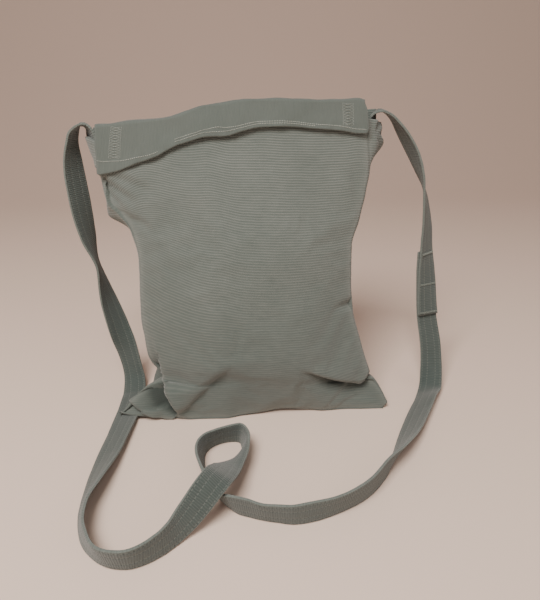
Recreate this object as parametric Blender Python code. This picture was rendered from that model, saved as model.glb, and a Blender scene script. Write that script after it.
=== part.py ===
"""Soft canvas shoulder pouch with side gussets, a shallow top flap and a long sewn strap.

Metres, +Z up. The front faces -Y, the width lies along X, and the origin is the middle of the
flat bottom gusset, where the pouch stands. The flap turns about the straight seam along the
back of the mouth, which is its origin.
"""
import math

import bmesh
import bpy
import numpy as np
from mathutils import Matrix, Vector

# Driving dimensions
POUCH_WIDTH = 0.312  # ear tip to ear tip along the bottom
POUCH_DEPTH = 0.100  # front to back where the pouch stands
FRONT_HEIGHT = 0.338  # highest point of the front panel's mouth edge
BACK_DROP = 0.009  # how much lower the back panel's mouth edge is at its highest
PANEL_BULGE = 0.029  # how far the stuffed front stands proud of its side seams
GUSSET_BULGE = 0.006  # how far the side gussets swell
CANVAS = 0.0016  # one layer of canvas
SEAM_GAP = 0.0003  # clearance between sewn neighbours
SEAM_INSET = 0.00024  # what each panel gives up at a seam, so a mitred seam stays SEAM_GAP wide
EAR_LIFT = 0.0085  # the left ear lies on the strap
FLAP_DROP = 0.0495  # longest fall of the flap down the front
FLAP_RISE = 0.0018  # clearance between the front mouth edge and the flap above it
HEM_DEPTH = 0.010  # turned hem along the flap's free edge
MOUTH_HEM = 0.014  # turned hem inside the front of the mouth
PATCH_THICKNESS = 0.0014  # hook or loop tape
PATCH_WIDTH = 0.012
PATCH_CLEARANCE = 0.0004  # either side of the tapes, and between them
STRAP_WIDTH = 0.027
STRAP_THICKNESS = 0.003
STRAP_STEP = 0.010  # spacing of the strap's sections
SPLICE_LENGTH = 0.082  # overlap of the two strap lengths
THREAD = 0.0007  # thickness of a stitch
STITCH = 0.0034  # pitch of the zigzag stitches
STITCH_MARGIN = 0.0015  # from a stitch row to the edge of what it holds
TAIL_LENGTH = 0.030  # strap end inside a gusset
TAIL_STITCH_BOX = 0.017  # side of the box stitching on a strap end

# Places along the pouch, as shares read off by eye: height levels of a panel's own height
LEVEL_SHARES = (
    0, 0.031, 0.074, 0.117, 0.166, 0.24, 0.338, 0.449, 0.56, 0.649, 0.729, 0.809, 0.889, 0.954, 1)
GUSSET_TOP = 13  # the gussets stop at this level, and the panels go on to the mouth's edge
LEFT_FRONT_SHARES = (
    -1.01, -0.975, -0.897, -0.79, -0.72, -0.765, -0.8, -0.805, -0.8, -0.835, -0.93, -1.01, -1.02, -1.03, -1.03)
RIGHT_FRONT_SHARES = (
    1, 0.965, 0.87, 0.81, 0.79, 0.765, 0.72, 0.7, 0.7, 0.75, 0.795, 0.82, 0.805, 0.79, 0.775)
LEFT_BACK_SHARES = (
    -0.78, -0.78, -0.76, -0.73, -0.71, -0.755, -0.805, -0.825, -0.835, -0.89, -0.975, -1.05, -1.08, -1.1,
    -1.1)
RIGHT_BACK_SHARES = (
    0.8, 0.795, 0.78, 0.76, 0.755, 0.755, 0.735, 0.72, 0.725, 0.775, 0.82, 0.86, 0.92, 0.91, 0.905)
FRONT_SEAM_SHARES = (
    -0.42, -0.42, -0.41, -0.4, -0.39, -0.36, -0.29, -0.21, -0.13, -0.05, 0.02, 0.08, 0.13, 0.16, 0.18)
BACK_SEAM_SHARES = (
    0.28, 0.3, 0.32, 0.33, 0.34, 0.36, 0.36, 0.36, 0.36, 0.37, 0.39, 0.42, 0.46, 0.5, 0.52)
FRONT_BULGE_SHARES = (
    0.31, 0.45, 0.62, 0.76, 0.88, 0.97, 1, 0.93, 0.8, 0.66, 0.52, 0.38, 0.24, 0.14, 0.07)
BACK_BULGE_SHARES = (
    0.14, 0.27, 0.4, 0.52, 0.62, 0.74, 0.76, 0.7, 0.62, 0.55, 0.45, 0.34, 0.2, 0.1, 0)
GUSSET_BULGE_SHARES = (0, 0, 0.1, 0.3, 0.6, 0.85, 0.85, 0.7, 0.6, 0.8, 1, 0.7, 0.25, 0, 0)
# the mouth's edges and the flap, from the left seam (0) to the right seam (1)
ACROSS_SHARES = (0, 0.142, 0.28, 0.4, 0.59, 0.82, 1)
FRONT_MOUTH_SHARES = (0.923, 0.935, 0.953, 0.979, 1, 0.994, 0.988)
FLAP_DROP_SHARES = (1, 0.82, 0.576, 0.566, 0.535, 0.535, 0.586)
BACK_LEFT_SHARE = 0.945  # the back mouth edge is straight and lower at the left
# where the ear starts to rise, and where it is fully up, as shares of half the width
EAR_SHARES = (-0.67, -0.87)
PATCH_PLACE_SHARES = (0.068, 0.925)
PATCH_HEIGHT_SHARES = (0.14, 0.66)  # lower and upper end on the flap above its hem, from hem to fold
ARCH_LEAN_SHARES = (0.35, 0.65)  # how the flap bends over the mouth, straight and then steeper
COLUMNS = 16
GUSSET_COLUMNS = 6
BULGE_POWER = 2.4
FOLD_STEPS = 5
DROP_ROWS = 4
STEADY = 0.02  # keeps the mitre of nearly flat neighbours well defined
SHARPEST_MITRE_SHARE = 0.35
CREASE_ANGLE = math.radians(40)

HALF_WIDTH = POUCH_WIDTH / 2
BACK_HEIGHT = FRONT_HEIGHT - BACK_DROP
HEM_END_CLEARANCE = 3 * CANVAS + 2 * SEAM_GAP
FLAP_STANDOFF = 2 * PATCH_THICKNESS + 3 * PATCH_CLEARANCE

# The strap's route: centre of the strap, and the direction from its inner to its outer edge.
# It is chosen by hand: up out of the left gusset, down to the table, under the left ear, round
# the open loop on its edge, over itself, round the small loop, under itself, and up to the right.
STRAP_ROUTE = (
    ((-0.1566, 0.0290, 0.2680), (-0.26, 0.96, 0.00)),
    ((-0.1589, 0.0325, 0.2850), (-0.28, 0.96, 0.00)),
    ((-0.1603, 0.0345, 0.2990), (-0.30, 0.95, 0.00)),
    ((-0.1632, 0.0345, 0.3075), (-0.20, 0.97, 0.00)),
    ((-0.1700, 0.0345, 0.3145), (-0.05, 1.00, 0.00)),
    ((-0.1780, 0.0345, 0.3175), (0.05, 1.00, 0.00)),
    ((-0.1855, 0.0345, 0.3115), (0.10, 1.00, 0.00)),
    ((-0.1910, 0.0350, 0.2980), (0.20, 0.97, -0.05)),
    ((-0.1935, 0.0350, 0.2770), (0.50, 0.86, -0.10)),
    ((-0.1920, 0.0355, 0.240), (0.68, 0.73, -0.10)),
    ((-0.1885, 0.0390, 0.195), (0.45, 0.88, -0.15)),
    ((-0.1825, 0.0425, 0.157), (-0.12, 0.97, -0.20)),
    ((-0.1770, 0.0430, 0.122), (-0.72, 0.68, -0.15)),
    ((-0.1660, 0.0410, 0.076), (-0.97, 0.22, 0.00)),
    ((-0.1555, 0.0360, 0.036), (-0.96, 0.28, 0.00)),
    ((-0.1500, 0.0260, 0.011), (-0.95, 0.25, -0.05)),
    ((-0.1480, 0.0050, 0.002), (-0.99, 0.02, -0.03)),
    ((-0.1480, -0.0300, 0.002), (-0.99, 0.00, -0.05)),
    ((-0.1500, -0.0680, 0.004), (-0.97, 0.05, -0.24)),
    ((-0.1545, -0.1200, 0.006), (-0.92, 0.04, -0.38)),
    ((-0.1580, -0.1640, 0.010), (-0.72, -0.02, -0.69)),
    ((-0.1590, -0.2060, 0.013), (-0.34, -0.06, -0.94)),
    ((-0.1490, -0.2380, 0.014), (-0.04, 0.00, -1.00)),
    ((-0.1320, -0.2570, 0.014), (0.12, 0.23, -0.97)),
    ((-0.1120, -0.2610, 0.014), (-0.02, 0.27, -0.96)),
    ((-0.0910, -0.2500, 0.014), (-0.03, 0.04, -1.00)),
    ((-0.0720, -0.2300, 0.0170), (0.20, -0.17, -0.96)),
    ((-0.0601, -0.2203, 0.0265), (0.40, -0.26, -0.87)),
    ((-0.0492, -0.2110, 0.0365), (0.60, -0.36, -0.70)),
    ((-0.0419, -0.2000, 0.0385), (0.76, -0.45, -0.46)),
    ((-0.0352, -0.1852, 0.0326), (0.83, -0.49, -0.26)),
    ((-0.0275, -0.1595, 0.0200), (0.87, -0.48, -0.08)),
    ((-0.0190, -0.1360, 0.0110), (0.93, -0.25, 0.18)),
    ((-0.0175, -0.1170, 0.0100), (0.80, 0.15, 0.55)),
    ((-0.0240, -0.1060, 0.0120), (0.38, -0.10, 0.90)),
    ((-0.0390, -0.1055, 0.0125), (0.21, -0.36, 0.91)),
    ((-0.0476, -0.1107, 0.0128), (0.29, -0.21, 0.93)),
    ((-0.0568, -0.1212, 0.0134), (-0.05, -0.05, 1.00)),
    ((-0.0605, -0.1310, 0.0133), (-0.22, 0.00, 0.97)),
    ((-0.0600, -0.1450, 0.0133), (-0.28, -0.02, 0.96)),
    ((-0.0565, -0.1610, 0.0133), (-0.25, -0.08, 0.96)),
    ((-0.0510, -0.1760, 0.0132), (-0.25, -0.15, 0.95)),
    ((-0.0440, -0.1890, 0.0124), (-0.33, -0.30, 0.89)),
    ((-0.0370, -0.1995, 0.0122), (-0.32, -0.38, 0.87)),
    ((-0.0260, -0.2072, 0.0130), (-0.15, -0.25, 0.96)),
    ((-0.0140, -0.2125, 0.0132), (-0.12, -0.24, 0.96)),
    ((-0.0026, -0.2178, 0.0134), (-0.12, -0.30, 0.95)),
    ((0.0091, -0.2206, 0.0136), (-0.07, -0.27, 0.96)),
    ((0.0218, -0.2230, 0.0138), (-0.02, -0.22, 0.97)),
    ((0.0371, -0.2213, 0.0138), (0.01, -0.17, 0.98)),
    ((0.0610, -0.2150, 0.014), (0.08, -0.23, 0.97)),
    ((0.0920, -0.1980, 0.014), (0.10, -0.13, 0.98)),
    ((0.1200, -0.1690, 0.014), (0.12, -0.06, 0.99)),
    ((0.1410, -0.1410, 0.012), (0.50, -0.19, 0.84)),
    ((0.1600, -0.1100, 0.009), (0.72, -0.37, 0.59)),
    ((0.1860, -0.0660, 0.006), (0.80, -0.42, 0.42)),
    ((0.2060, -0.0330, 0.006), (0.78, -0.46, 0.42)),
    ((0.2170, -0.0130, 0.008), (0.93, -0.36, 0.10)),
    ((0.2210, 0.0010, 0.026), (0.98, -0.10, 0.00)),
    ((0.2210, 0.0110, 0.054), (0.98, 0.05, -0.05)),
    ((0.2170, 0.0210, 0.088), (0.97, 0.20, -0.08)),
    ((0.2140, 0.0300, 0.130), (0.92, 0.38, -0.10)),
    ((0.2110, 0.0350, 0.168), (0.75, 0.64, -0.12)),
    ((0.2080, 0.0370, 0.205), (0.60, 0.78, -0.15)),
    ((0.2020, 0.0370, 0.236), (0.38, 0.90, -0.15)),
    ((0.1930, 0.0360, 0.262), (0.02, 0.98, -0.18)),
    ((0.1800, 0.0360, 0.288), (-0.25, 0.96, -0.12)),
    ((0.1690, 0.0355, 0.305), (-0.20, 0.97, -0.05)),
    ((0.1595, 0.0350, 0.3175), (-0.05, 1.00, 0.00)),
    ((0.1510, 0.0350, 0.3250), (0.05, 1.00, 0.00)),
    ((0.1420, 0.0350, 0.3280), (0.15, 0.98, 0.00)),
    ((0.1325, 0.0352, 0.3262), (0.28, 0.96, 0.00)),
    ((0.1270, 0.0355, 0.3185), (0.42, 0.91, 0.00)),
    ((0.1270, 0.0330, 0.3020), (0.38, 0.92, 0.00)),
    ((0.1270, 0.0300, 0.2860), (0.33, 0.94, 0.00)),
)
SPLICE_TOP_STATION = 62  # the long strap ends here, on the right hanging run


def clear_scene():
    for thing in list(bpy.data.objects):
        bpy.data.objects.remove(thing, do_unlink=True)


def material(name, colour, roughness):
    """A cloth or thread finish."""
    finish = bpy.data.materials.new(name)
    finish.use_nodes = True
    shader = finish.node_tree.nodes["Principled BSDF"]
    shader.inputs["Base Color"].default_value = (*colour, 1)
    shader.inputs["Roughness"].default_value = roughness
    shader.inputs["Metallic"].default_value = 0
    return finish


def add_object(name, mesh, finish, origin=(0, 0, 0)):
    """Links a mesh built in the pouch's own frame, with its object's origin where it turns."""
    mesh.transform(Matrix.Translation(-Vector(origin)))
    thing = bpy.data.objects.new(name, mesh)
    thing.location = origin
    thing.data.materials.append(finish)
    bpy.context.scene.collection.objects.link(thing)
    return thing


def between(shares, places, at):
    """A table of shares read at a place between its own."""
    return float(np.interp(at, places, shares))


def unit(vector):
    return vector / np.linalg.norm(vector)


# The pouch's outside, as one skin of grids that meet along the seams

def front_mouth_height(across):
    return FRONT_HEIGHT * between(FRONT_MOUTH_SHARES, ACROSS_SHARES, across)


def back_mouth_height(across):
    """across runs from the left seam to the right one, as at the front."""
    return BACK_HEIGHT * (BACK_LEFT_SHARE + (1 - BACK_LEFT_SHARE) * across)


def ear_lift(x, level_share):
    """The left ear is raised by the strap below it, and the lift fades out up the panel."""
    start, full = (HALF_WIDTH * share for share in EAR_SHARES)
    along = min(1, max(0, (x - start) / (full - start)))
    smooth = along * along * (3 - 2 * along)
    fade = max(0, 1 - level_share / LEVEL_SHARES[3])
    return EAR_LIFT * smooth * fade


def skin_point(x, y, height, level_share):
    return np.array((x, y, height * level_share + ear_lift(x, level_share)))


def crown(across):
    """1 in the middle of a panel, 0 at its side seams."""
    return 1 - abs(2 * across - 1) ** BULGE_POWER


def front_point(across, level_share):
    """Outside of the front panel, across from the left seam to the right one."""
    left, right, seam, bulge = (
        between(shares, LEVEL_SHARES, level_share)
        for shares in (LEFT_FRONT_SHARES, RIGHT_FRONT_SHARES, FRONT_SEAM_SHARES, FRONT_BULGE_SHARES))
    x = HALF_WIDTH * (left + (right - left) * across)
    y = POUCH_DEPTH * seam - PANEL_BULGE * bulge * crown(across)
    return skin_point(x, y, front_mouth_height(across), level_share)


def back_point(across, level_share):
    """Outside of the back panel, across from the left seam to the right one."""
    left, right, seam, bulge = (
        between(shares, LEVEL_SHARES, level_share)
        for shares in (LEFT_BACK_SHARES, RIGHT_BACK_SHARES, BACK_SEAM_SHARES, BACK_BULGE_SHARES))
    x = HALF_WIDTH * (left + (right - left) * across)
    y = POUCH_DEPTH * seam + PANEL_BULGE * bulge * crown(across)
    return skin_point(x, y, back_mouth_height(across), level_share)


def gusset_point(side, along, level_share):
    """Outside of a side gusset; side is 0 at the left and 1 at the right, along goes front to back."""
    front, back = front_point(side, level_share), back_point(side, level_share)
    swell = GUSSET_BULGE * between(GUSSET_BULGE_SHARES, LEVEL_SHARES, level_share)
    outward = np.array((2 * side - 1, 0, 0))
    return front + (back - front) * along + outward * swell * crown(along)


def bottom_point(across, along):
    """Underside of the bottom gusset, flat but for the lifted ear; along goes front to back."""
    front, back = front_point(across, 0), back_point(across, 0)
    return front + (back - front) * along


def patch_columns():
    """Even columns across the pouch, with one more at each edge of the closing tapes."""
    top_width = HALF_WIDTH * (RIGHT_FRONT_SHARES[-1] - LEFT_FRONT_SHARES[-1])
    half_patch = PATCH_WIDTH / 2 / top_width
    edges = [place + side * half_patch for place in PATCH_PLACE_SHARES for side in (-1, 1)]
    even = [i / COLUMNS for i in range(COLUMNS + 1)]
    kept = [place for place in even if min(abs(place - edge) for edge in edges) > half_patch / 2]
    return sorted(set(kept) | set(edges) | {0, 1})


class Skin:
    """Points shared by all the grids, so that a seam's offset suits both of its panels."""

    def __init__(self):
        self.points, self.faces, self.found = [], [], {}

    def index(self, point):
        key = tuple(round(value, 7) for value in point)
        if key not in self.found:
            self.found[key] = len(self.points)
            self.points.append(np.array(point, float))
        return self.found[key]

    def grid(self, rows, outward):
        """rows is a list of rows of points; outward is a rough outward direction for its middle."""
        table = [[self.index(point) for point in row] for row in rows]
        middle_row, middle = len(table) // 2, len(table[0]) // 2
        a, b, c = (self.points[i] for i in (
            table[middle_row][middle], table[middle_row][middle - 1], table[middle_row - 1][middle]))
        flip = np.dot(np.cross(b - a, c - a), outward) < 0
        for low, high in zip(table, table[1:]):
            for i in range(len(low) - 1):
                loop = [low[i], low[i + 1], high[i + 1], high[i]]
                self.faces.append(loop[::-1] if flip else loop)
        return table

    def offsets(self):
        """Vector to each point's mitred inner place, for a wall of unit thickness."""
        normals = [[] for _ in self.points]
        for loop in self.faces:
            corners = [self.points[i] for i in dict.fromkeys(loop)]
            normal = np.cross(corners[1] - corners[0], corners[2] - corners[0])
            if len(corners) == 4:
                normal = np.cross(corners[2] - corners[0], corners[3] - corners[1])
            length = np.linalg.norm(normal)
            if length > 0:
                for i in dict.fromkeys(loop):
                    normals[i].append(normal / length)
        found = []
        for around in normals:
            n = np.array(around)
            found.append(-np.linalg.solve(n.T @ n + STEADY * np.eye(3), n.T @ np.ones(len(n))))
        return found


def slab(name, outer, inner, finish, origin=(0, 0, 0)):
    """A closed solid between two grids of points that match, outer on the outside."""
    mesh = bpy.data.meshes.new(name)
    shape = bmesh.new()
    top = [[shape.verts.new(point) for point in row] for row in outer]
    low = [[shape.verts.new(point) for point in row] for row in inner]
    rows, columns = len(outer), len(outer[0])
    for j in range(rows - 1):
        for i in range(columns - 1):
            shape.faces.new((top[j][i], top[j][i + 1], top[j + 1][i + 1], top[j + 1][i]))
            shape.faces.new((low[j][i], low[j + 1][i], low[j + 1][i + 1], low[j][i + 1]))
    for j in range(rows - 1):
        shape.faces.new((top[j][0], top[j + 1][0], low[j + 1][0], low[j][0]))
        shape.faces.new((top[j + 1][-1], top[j][-1], low[j][-1], low[j + 1][-1]))
    for i in range(columns - 1):
        shape.faces.new((top[0][i + 1], top[0][i], low[0][i], low[0][i + 1]))
        shape.faces.new((top[-1][i], top[-1][i + 1], low[-1][i + 1], low[-1][i]))
    bmesh.ops.recalc_face_normals(shape, faces=shape.faces)
    shape.to_mesh(mesh)
    shape.free()
    mesh.shade_smooth()
    return add_object(name, mesh, finish, origin)


def inset_edges(rows, sides):
    """Draws the named sides of a grid of points in by SEAM_INSET, for the clearance at a seam."""
    rows = [[np.array(point) for point in row] for row in rows]
    moved = [[point.copy() for point in row] for row in rows]
    last_row, last = len(rows) - 1, len(rows[0]) - 1

    def draw(j, i, to_j, to_i):
        moved[j][i] += SEAM_INSET * unit(rows[to_j][to_i] - rows[j][i])

    for j in range(last_row + 1):
        if "start" in sides:
            draw(j, 0, j, 1)
        if "end" in sides:
            draw(j, last, j, last - 1)
    for i in range(last + 1):
        if "bottom" in sides:
            draw(0, i, 1, i)
        if "top" in sides:
            draw(last_row, i, last_row - 1, i)
    return moved


def panel(name, skin, offsets, table, sides, finish):
    """One sewn panel of canvas, from its outside grid in the skin."""
    outer = [[skin.points[i] for i in row] for row in table]
    inner = [[skin.points[i] + offsets[i] * CANVAS for i in row] for row in table]
    return slab(name, inset_edges(outer, sides), inset_edges(inner, sides), finish)


def make_pouch(canvas):
    across = patch_columns()
    gusset_levels = LEVEL_SHARES[:GUSSET_TOP + 1]
    along = [i / GUSSET_COLUMNS for i in range(GUSSET_COLUMNS + 1)]
    skin = Skin()
    front = skin.grid([[front_point(a, h) for a in across] for h in LEVEL_SHARES], (0, -1, 0))
    back = skin.grid([[back_point(a, h) for a in across] for h in LEVEL_SHARES], (0, 1, 0))
    left = skin.grid([[gusset_point(0, a, h) for a in along] for h in gusset_levels], (-1, 0, 0))
    right = skin.grid([[gusset_point(1, a, h) for a in along] for h in gusset_levels], (1, 0, 0))
    bottom = skin.grid([[bottom_point(a, b) for a in across] for b in along], (0, 0, -1))
    offsets = skin.offsets()
    all_round = ("start", "end", "bottom")
    panel("front_panel", skin, offsets, front, all_round, canvas)
    panel("back_panel", skin, offsets, back, all_round, canvas)
    panel("left_gusset", skin, offsets, left, all_round, canvas)
    panel("right_gusset", skin, offsets, right, all_round, canvas)
    panel("bottom_gusset", skin, offsets, bottom, (*all_round, "top"), canvas)
    return across


def shifted(rows, move):
    return [[point + move for point in row] for row in rows]


def make_mouth_hems(canvas):
    """The turned hems sewn down inside the front mouth edge and inside the gusset tops."""
    low = 1 - MOUTH_HEM / FRONT_HEIGHT
    levels = sorted({low, 1} | {share for share in LEVEL_SHARES if low < share < 1})
    end = HEM_END_CLEARANCE / POUCH_WIDTH
    across = [end] + [a for a in patch_columns() if end < a < 1 - end] + [1 - end]
    inward, down = np.array((0, 1, 0)), np.array((0, 0, -1))
    rows = shifted([[front_point(a, h) for a in across] for h in levels], down * SEAM_GAP)
    face = CANVAS + 2 * SEAM_GAP
    slab("front_mouth_hem", shifted(rows, inward * face), shifted(rows, inward * (face + CANVAS)), canvas)
    for side, name in enumerate(("left_gusset_hem", "right_gusset_hem")):
        outer, inner = [], []
        for below in (MOUTH_HEM, MOUTH_HEM / 2, 0):
            corner, way, inside = gusset_frame(side, below)
            width = np.linalg.norm(way)
            clear = HEM_END_CLEARANCE / width
            run = [clear + (1 - 2 * clear) * i / GUSSET_COLUMNS for i in range(GUSSET_COLUMNS + 1)]
            outer.append([corner + way * r + inside * face for r in run])
            inner.append([corner + way * r + inside * (face + CANVAS) for r in run])
        slab(name, outer, inner, canvas)


def gusset_frame(side, below=0.0):
    """Front corner, way to the back corner and inward normal of a gusset, below its top edge."""
    top_share = LEVEL_SHARES[GUSSET_TOP]
    share = top_share - below / FRONT_HEIGHT
    front, back = gusset_point(side, 0, share), gusset_point(side, 1, share)
    higher = gusset_point(side, 0.5, top_share)
    lower = gusset_point(side, 0.5, top_share - MOUTH_HEM / FRONT_HEIGHT)
    across = back - front
    inward = unit(np.cross(across, higher - lower)) * (1 if side == 0 else -1)
    if inward[0] * (1 - 2 * side) < 0:
        inward = -inward
    return front, across, inward


# The flap, laid over the mouth and down the front

def flap_fall(across):
    return FLAP_DROP * between(FLAP_DROP_SHARES, ACROSS_SHARES, across)


def hinge_point(across):
    """Where the flap is sewn on, along the back panel's straight top edge."""
    x = front_point(across, 1)[0]
    left, right = back_point(0, 1)[0], back_point(1, 1)[0]
    return back_point((x - left) / (right - left), 1) + np.array((0, 0, SEAM_GAP))


def flap_inside(across, row):
    """Inside of the flap; row is 0 at the hinge, 1 at the front fold, 2 at the free edge."""
    hinge = hinge_point(across)
    fold = front_point(across, 1) + np.array((0, -FLAP_STANDOFF, FLAP_RISE))
    if row <= 1:
        straight, steep = ARCH_LEAN_SHARES
        shares = np.array((row, straight * row + steep * row * row, math.sin(math.pi * row / 2)))
        return hinge + (fold - hinge) * shares
    height = fold[2] - flap_fall(across) * (row - 1)
    level = min(height / front_mouth_height(across), 1)
    return front_point(across, level) * (1, 1, 0) + np.array((0, -FLAP_STANDOFF, height))


def hem_row(across):
    """The row where the turned hem starts."""
    return 2 - HEM_DEPTH / flap_fall(across)


def flap_rows(across):
    """Rows from the hinge to the free edge, with the fold and the hem's start among them."""
    over = [i / FOLD_STEPS for i in range(FOLD_STEPS)]
    hem = hem_row(across)
    down = [1 + (hem - 1) * i / DROP_ROWS for i in range(DROP_ROWS + 1)]
    return over + down + [2]


def flap_grid(across, rows_of):
    return [[flap_inside(a, row) for a, row in zip(across, rows)] for rows in zip(*map(rows_of, across))]


def make_flap(across, canvas, tape, thread):
    # the flap folds over the outer face of its seam
    pivot = tuple((hinge_point(0) + hinge_point(1)) / 2 + np.array((0, CANVAS, 0)))
    skin = Skin()
    table = skin.grid(flap_grid(across, flap_rows), (0, 1, -1))
    offsets = skin.offsets()
    inner = [[skin.points[i] for i in row] for row in table]
    outer = [[skin.points[i] + offsets[i] * CANVAS for i in row] for row in table]
    slab("flap", outer, inner, canvas, pivot)

    inward = np.array((0, 1, 0))
    hem = flap_grid(across, lambda a: (hem_row(a), 2))
    slab("flap_hem", shifted(hem, inward * SEAM_GAP), shifted(hem, inward * (SEAM_GAP + CANVAS)),
         canvas, pivot)
    for place, side in zip(PATCH_PLACE_SHARES, ("left", "right")):
        edges = sorted(sorted(across, key=lambda a: abs(a - place))[:2])
        make_closing_tapes(side, edges, pivot, tape)
        make_zigzag(f"flap_stitching_{side}", edges, pivot, thread)


def tape_rows(across, count):
    """Rows of the flap that a closing tape covers, from its lower end up."""
    low, high = PATCH_HEIGHT_SHARES
    hem = hem_row(across)
    return [hem + (1 - hem) * (low + (high - low) * k / count) for k in range(count + 1)]


def make_closing_tapes(side, edges, pivot, tape):
    """The hook tape inside the flap, and the loop tape behind it on the front panel."""
    grid = flap_grid(edges, lambda a: tape_rows(a, DROP_ROWS))
    inward = np.array((0, 1, 0))
    for name, face, origin in (
            (f"flap_hook_tape_{side}", PATCH_CLEARANCE, pivot),
            (f"front_loop_tape_{side}", 2 * PATCH_CLEARANCE + PATCH_THICKNESS, (0, 0, 0))):
        slab(name, shifted(grid, inward * face), shifted(grid, inward * (face + PATCH_THICKNESS)),
             tape, origin)


# Stitching is a run of thread laid on the cloth

def thread_run(name, points, outs, finish, origin=(0, 0, 0)):
    """One unbroken run of thread, square in section, standing out from the cloth along outs."""
    points = [np.array(point) for point in points]
    legs = [unit(after - before) for before, after in zip(points, points[1:])]
    shape = bmesh.new()
    rings = []
    for point, out, arrive, leave in zip(points, outs, legs[:1] + legs, legs + legs[-1:]):
        along = unit(arrive + leave)
        mitre = max(SHARPEST_MITRE_SHARE, float(np.dot(along, leave)))
        side = unit(np.cross(out, along)) * THREAD / 2 / mitre
        up = unit(out) * THREAD
        rings.append([shape.verts.new(p) for p in (point - side, point + side, point + side + up,
                                                   point - side + up)])
    join_rings(shape, rings)
    return closed_object(name, shape, finish, origin)


def join_rings(shape, rings):
    for ring, following in zip(rings, rings[1:]):
        for i in range(4):
            j = (i + 1) % 4
            shape.faces.new((ring[i], ring[j], following[j], following[i]))
    shape.faces.new(rings[0][::-1])
    shape.faces.new(rings[-1])


def closed_object(name, shape, finish, origin=(0, 0, 0)):
    bmesh.ops.recalc_face_normals(shape, faces=shape.faces)
    mesh = bpy.data.meshes.new(name)
    shape.to_mesh(mesh)
    shape.free()
    return add_object(name, mesh, finish, origin)


def make_zigzag(name, edges, pivot, thread):
    """The zigzag that holds a closing tape, on the outside of the flap."""
    left, right = edges
    low, high = (flap_inside(left, row) for row in (tape_rows(left, 1)))
    count = int(np.linalg.norm(high - low) / STITCH)
    margin = STITCH_MARGIN / PATCH_WIDTH
    out = np.array((0, -1, 0))
    points = []
    for k in range(count + 1):
        across = left + (right - left) * (margin if k % 2 else 1 - margin)
        point = flap_inside(across, tape_rows(across, count)[k])
        points.append(point + out * (CANVAS + 2 * SEAM_GAP))
    return thread_run(name, points, [out] * len(points), thread, pivot)


# The strap, a flat sewn band swept along its route

def smooth_route(stations):
    """Centres and edge directions every STRAP_STEP along a smooth curve through the stations."""
    centres = np.array([centre for centre, _ in stations])
    edges = np.array([unit(np.array(edge)) for _, edge in stations])
    chords = np.concatenate([[0], np.cumsum(np.linalg.norm(np.diff(centres, axis=0), axis=1))])
    values = np.hstack([centres, edges])
    slopes = np.gradient(values, chords, axis=0)
    count = int(round(chords[-1] / STRAP_STEP)) + 1
    found = []
    for place in np.linspace(0, chords[-1], count):
        k = min(max(int(np.searchsorted(chords, place)) - 1, 0), len(chords) - 2)
        span = chords[k + 1] - chords[k]
        t = (place - chords[k]) / span
        found.append(
            values[k] * (2 * t**3 - 3 * t**2 + 1) + slopes[k] * span * (t**3 - 2 * t**2 + t)
            + values[k + 1] * (3 * t**2 - 2 * t**3) + slopes[k + 1] * span * (t**3 - t**2))
    found = np.array(found)
    return found[:, :3], found[:, 3:]


def strap_frames(centres, edges):
    """Unit directions along the strap, across it and out of its face, for each section."""
    along = np.gradient(centres, axis=0)
    along /= np.linalg.norm(along, axis=1)[:, None]
    across = edges - (edges * along).sum(1)[:, None] * along
    across /= np.linalg.norm(across, axis=1)[:, None]
    return along, across, np.cross(along, across)


def laid_on_table(centres, across, faces):
    """Raises each section that would dip below the table to rest on it."""
    reach = abs(across[:, 2]) * STRAP_WIDTH / 2 + abs(faces[:, 2]) * STRAP_THICKNESS / 2
    lifted = centres.copy()
    lifted[:, 2] = np.maximum(centres[:, 2], reach)
    return lifted


def band(name, centres, across, faces, finish):
    """The strap as a closed solid with a flat section."""
    half_width, half_thick = STRAP_WIDTH / 2, STRAP_THICKNESS / 2
    shape = bmesh.new()
    corners = ((-1, -1), (1, -1), (1, 1), (-1, 1))
    join_rings(shape, [[shape.verts.new(centre + side * w * half_width + face * f * half_thick)
                        for w, f in corners]
                       for centre, side, face in zip(centres, across, faces)])
    thing = closed_object(name, shape, finish)
    thing.data.shade_smooth()
    thing.data.set_sharp_from_angle(angle=CREASE_ANGLE)
    return thing


def make_strap(canvas, thread):
    centres, edges = smooth_route(STRAP_ROUTE)
    _, across, faces = strap_frames(centres, edges)
    centres = laid_on_table(centres, across, faces)
    travelled = np.concatenate([[0], np.cumsum(np.linalg.norm(np.diff(centres, axis=0), axis=1))])
    splice_place = np.array(STRAP_ROUTE[SPLICE_TOP_STATION][0])
    top = int(np.linalg.norm(centres - splice_place, axis=1).argmin())
    low = int(np.searchsorted(travelled, travelled[top] - SPLICE_LENGTH))

    # the long length lies behind the short one at the splice, and eases away from it below
    ease = np.clip((travelled - travelled[low]) / SPLICE_LENGTH + 1, 0, 1)
    ease = ease * ease * (3 - 2 * ease)
    behind = centres + faces * (ease * (STRAP_THICKNESS + SEAM_GAP))[:, None]
    band("strap_long", behind[:top + 1], across[:top + 1], faces[:top + 1], canvas)
    band("strap_short", centres[low:], across[low:], faces[low:], canvas)

    standoff = STRAP_THICKNESS / 2 + SEAM_GAP
    reach = STRAP_WIDTH / 2 - STITCH_MARGIN
    for row, name in ((low + 1, "low"), ((low + top) // 2, "middle"), (top - 1, "top")):
        surface = centres[row] - faces[row] * standoff
        ends = [surface - across[row] * reach, surface, surface + across[row] * reach]
        thread_run(f"splice_stitching_{name}", ends, [-faces[row]] * len(ends), thread)
    make_tail_box("strap_stitching_left", centres, across, faces, 0, thread)
    make_tail_box("strap_stitching_right", centres[::-1], across[::-1], faces[::-1], 1, thread)


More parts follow.
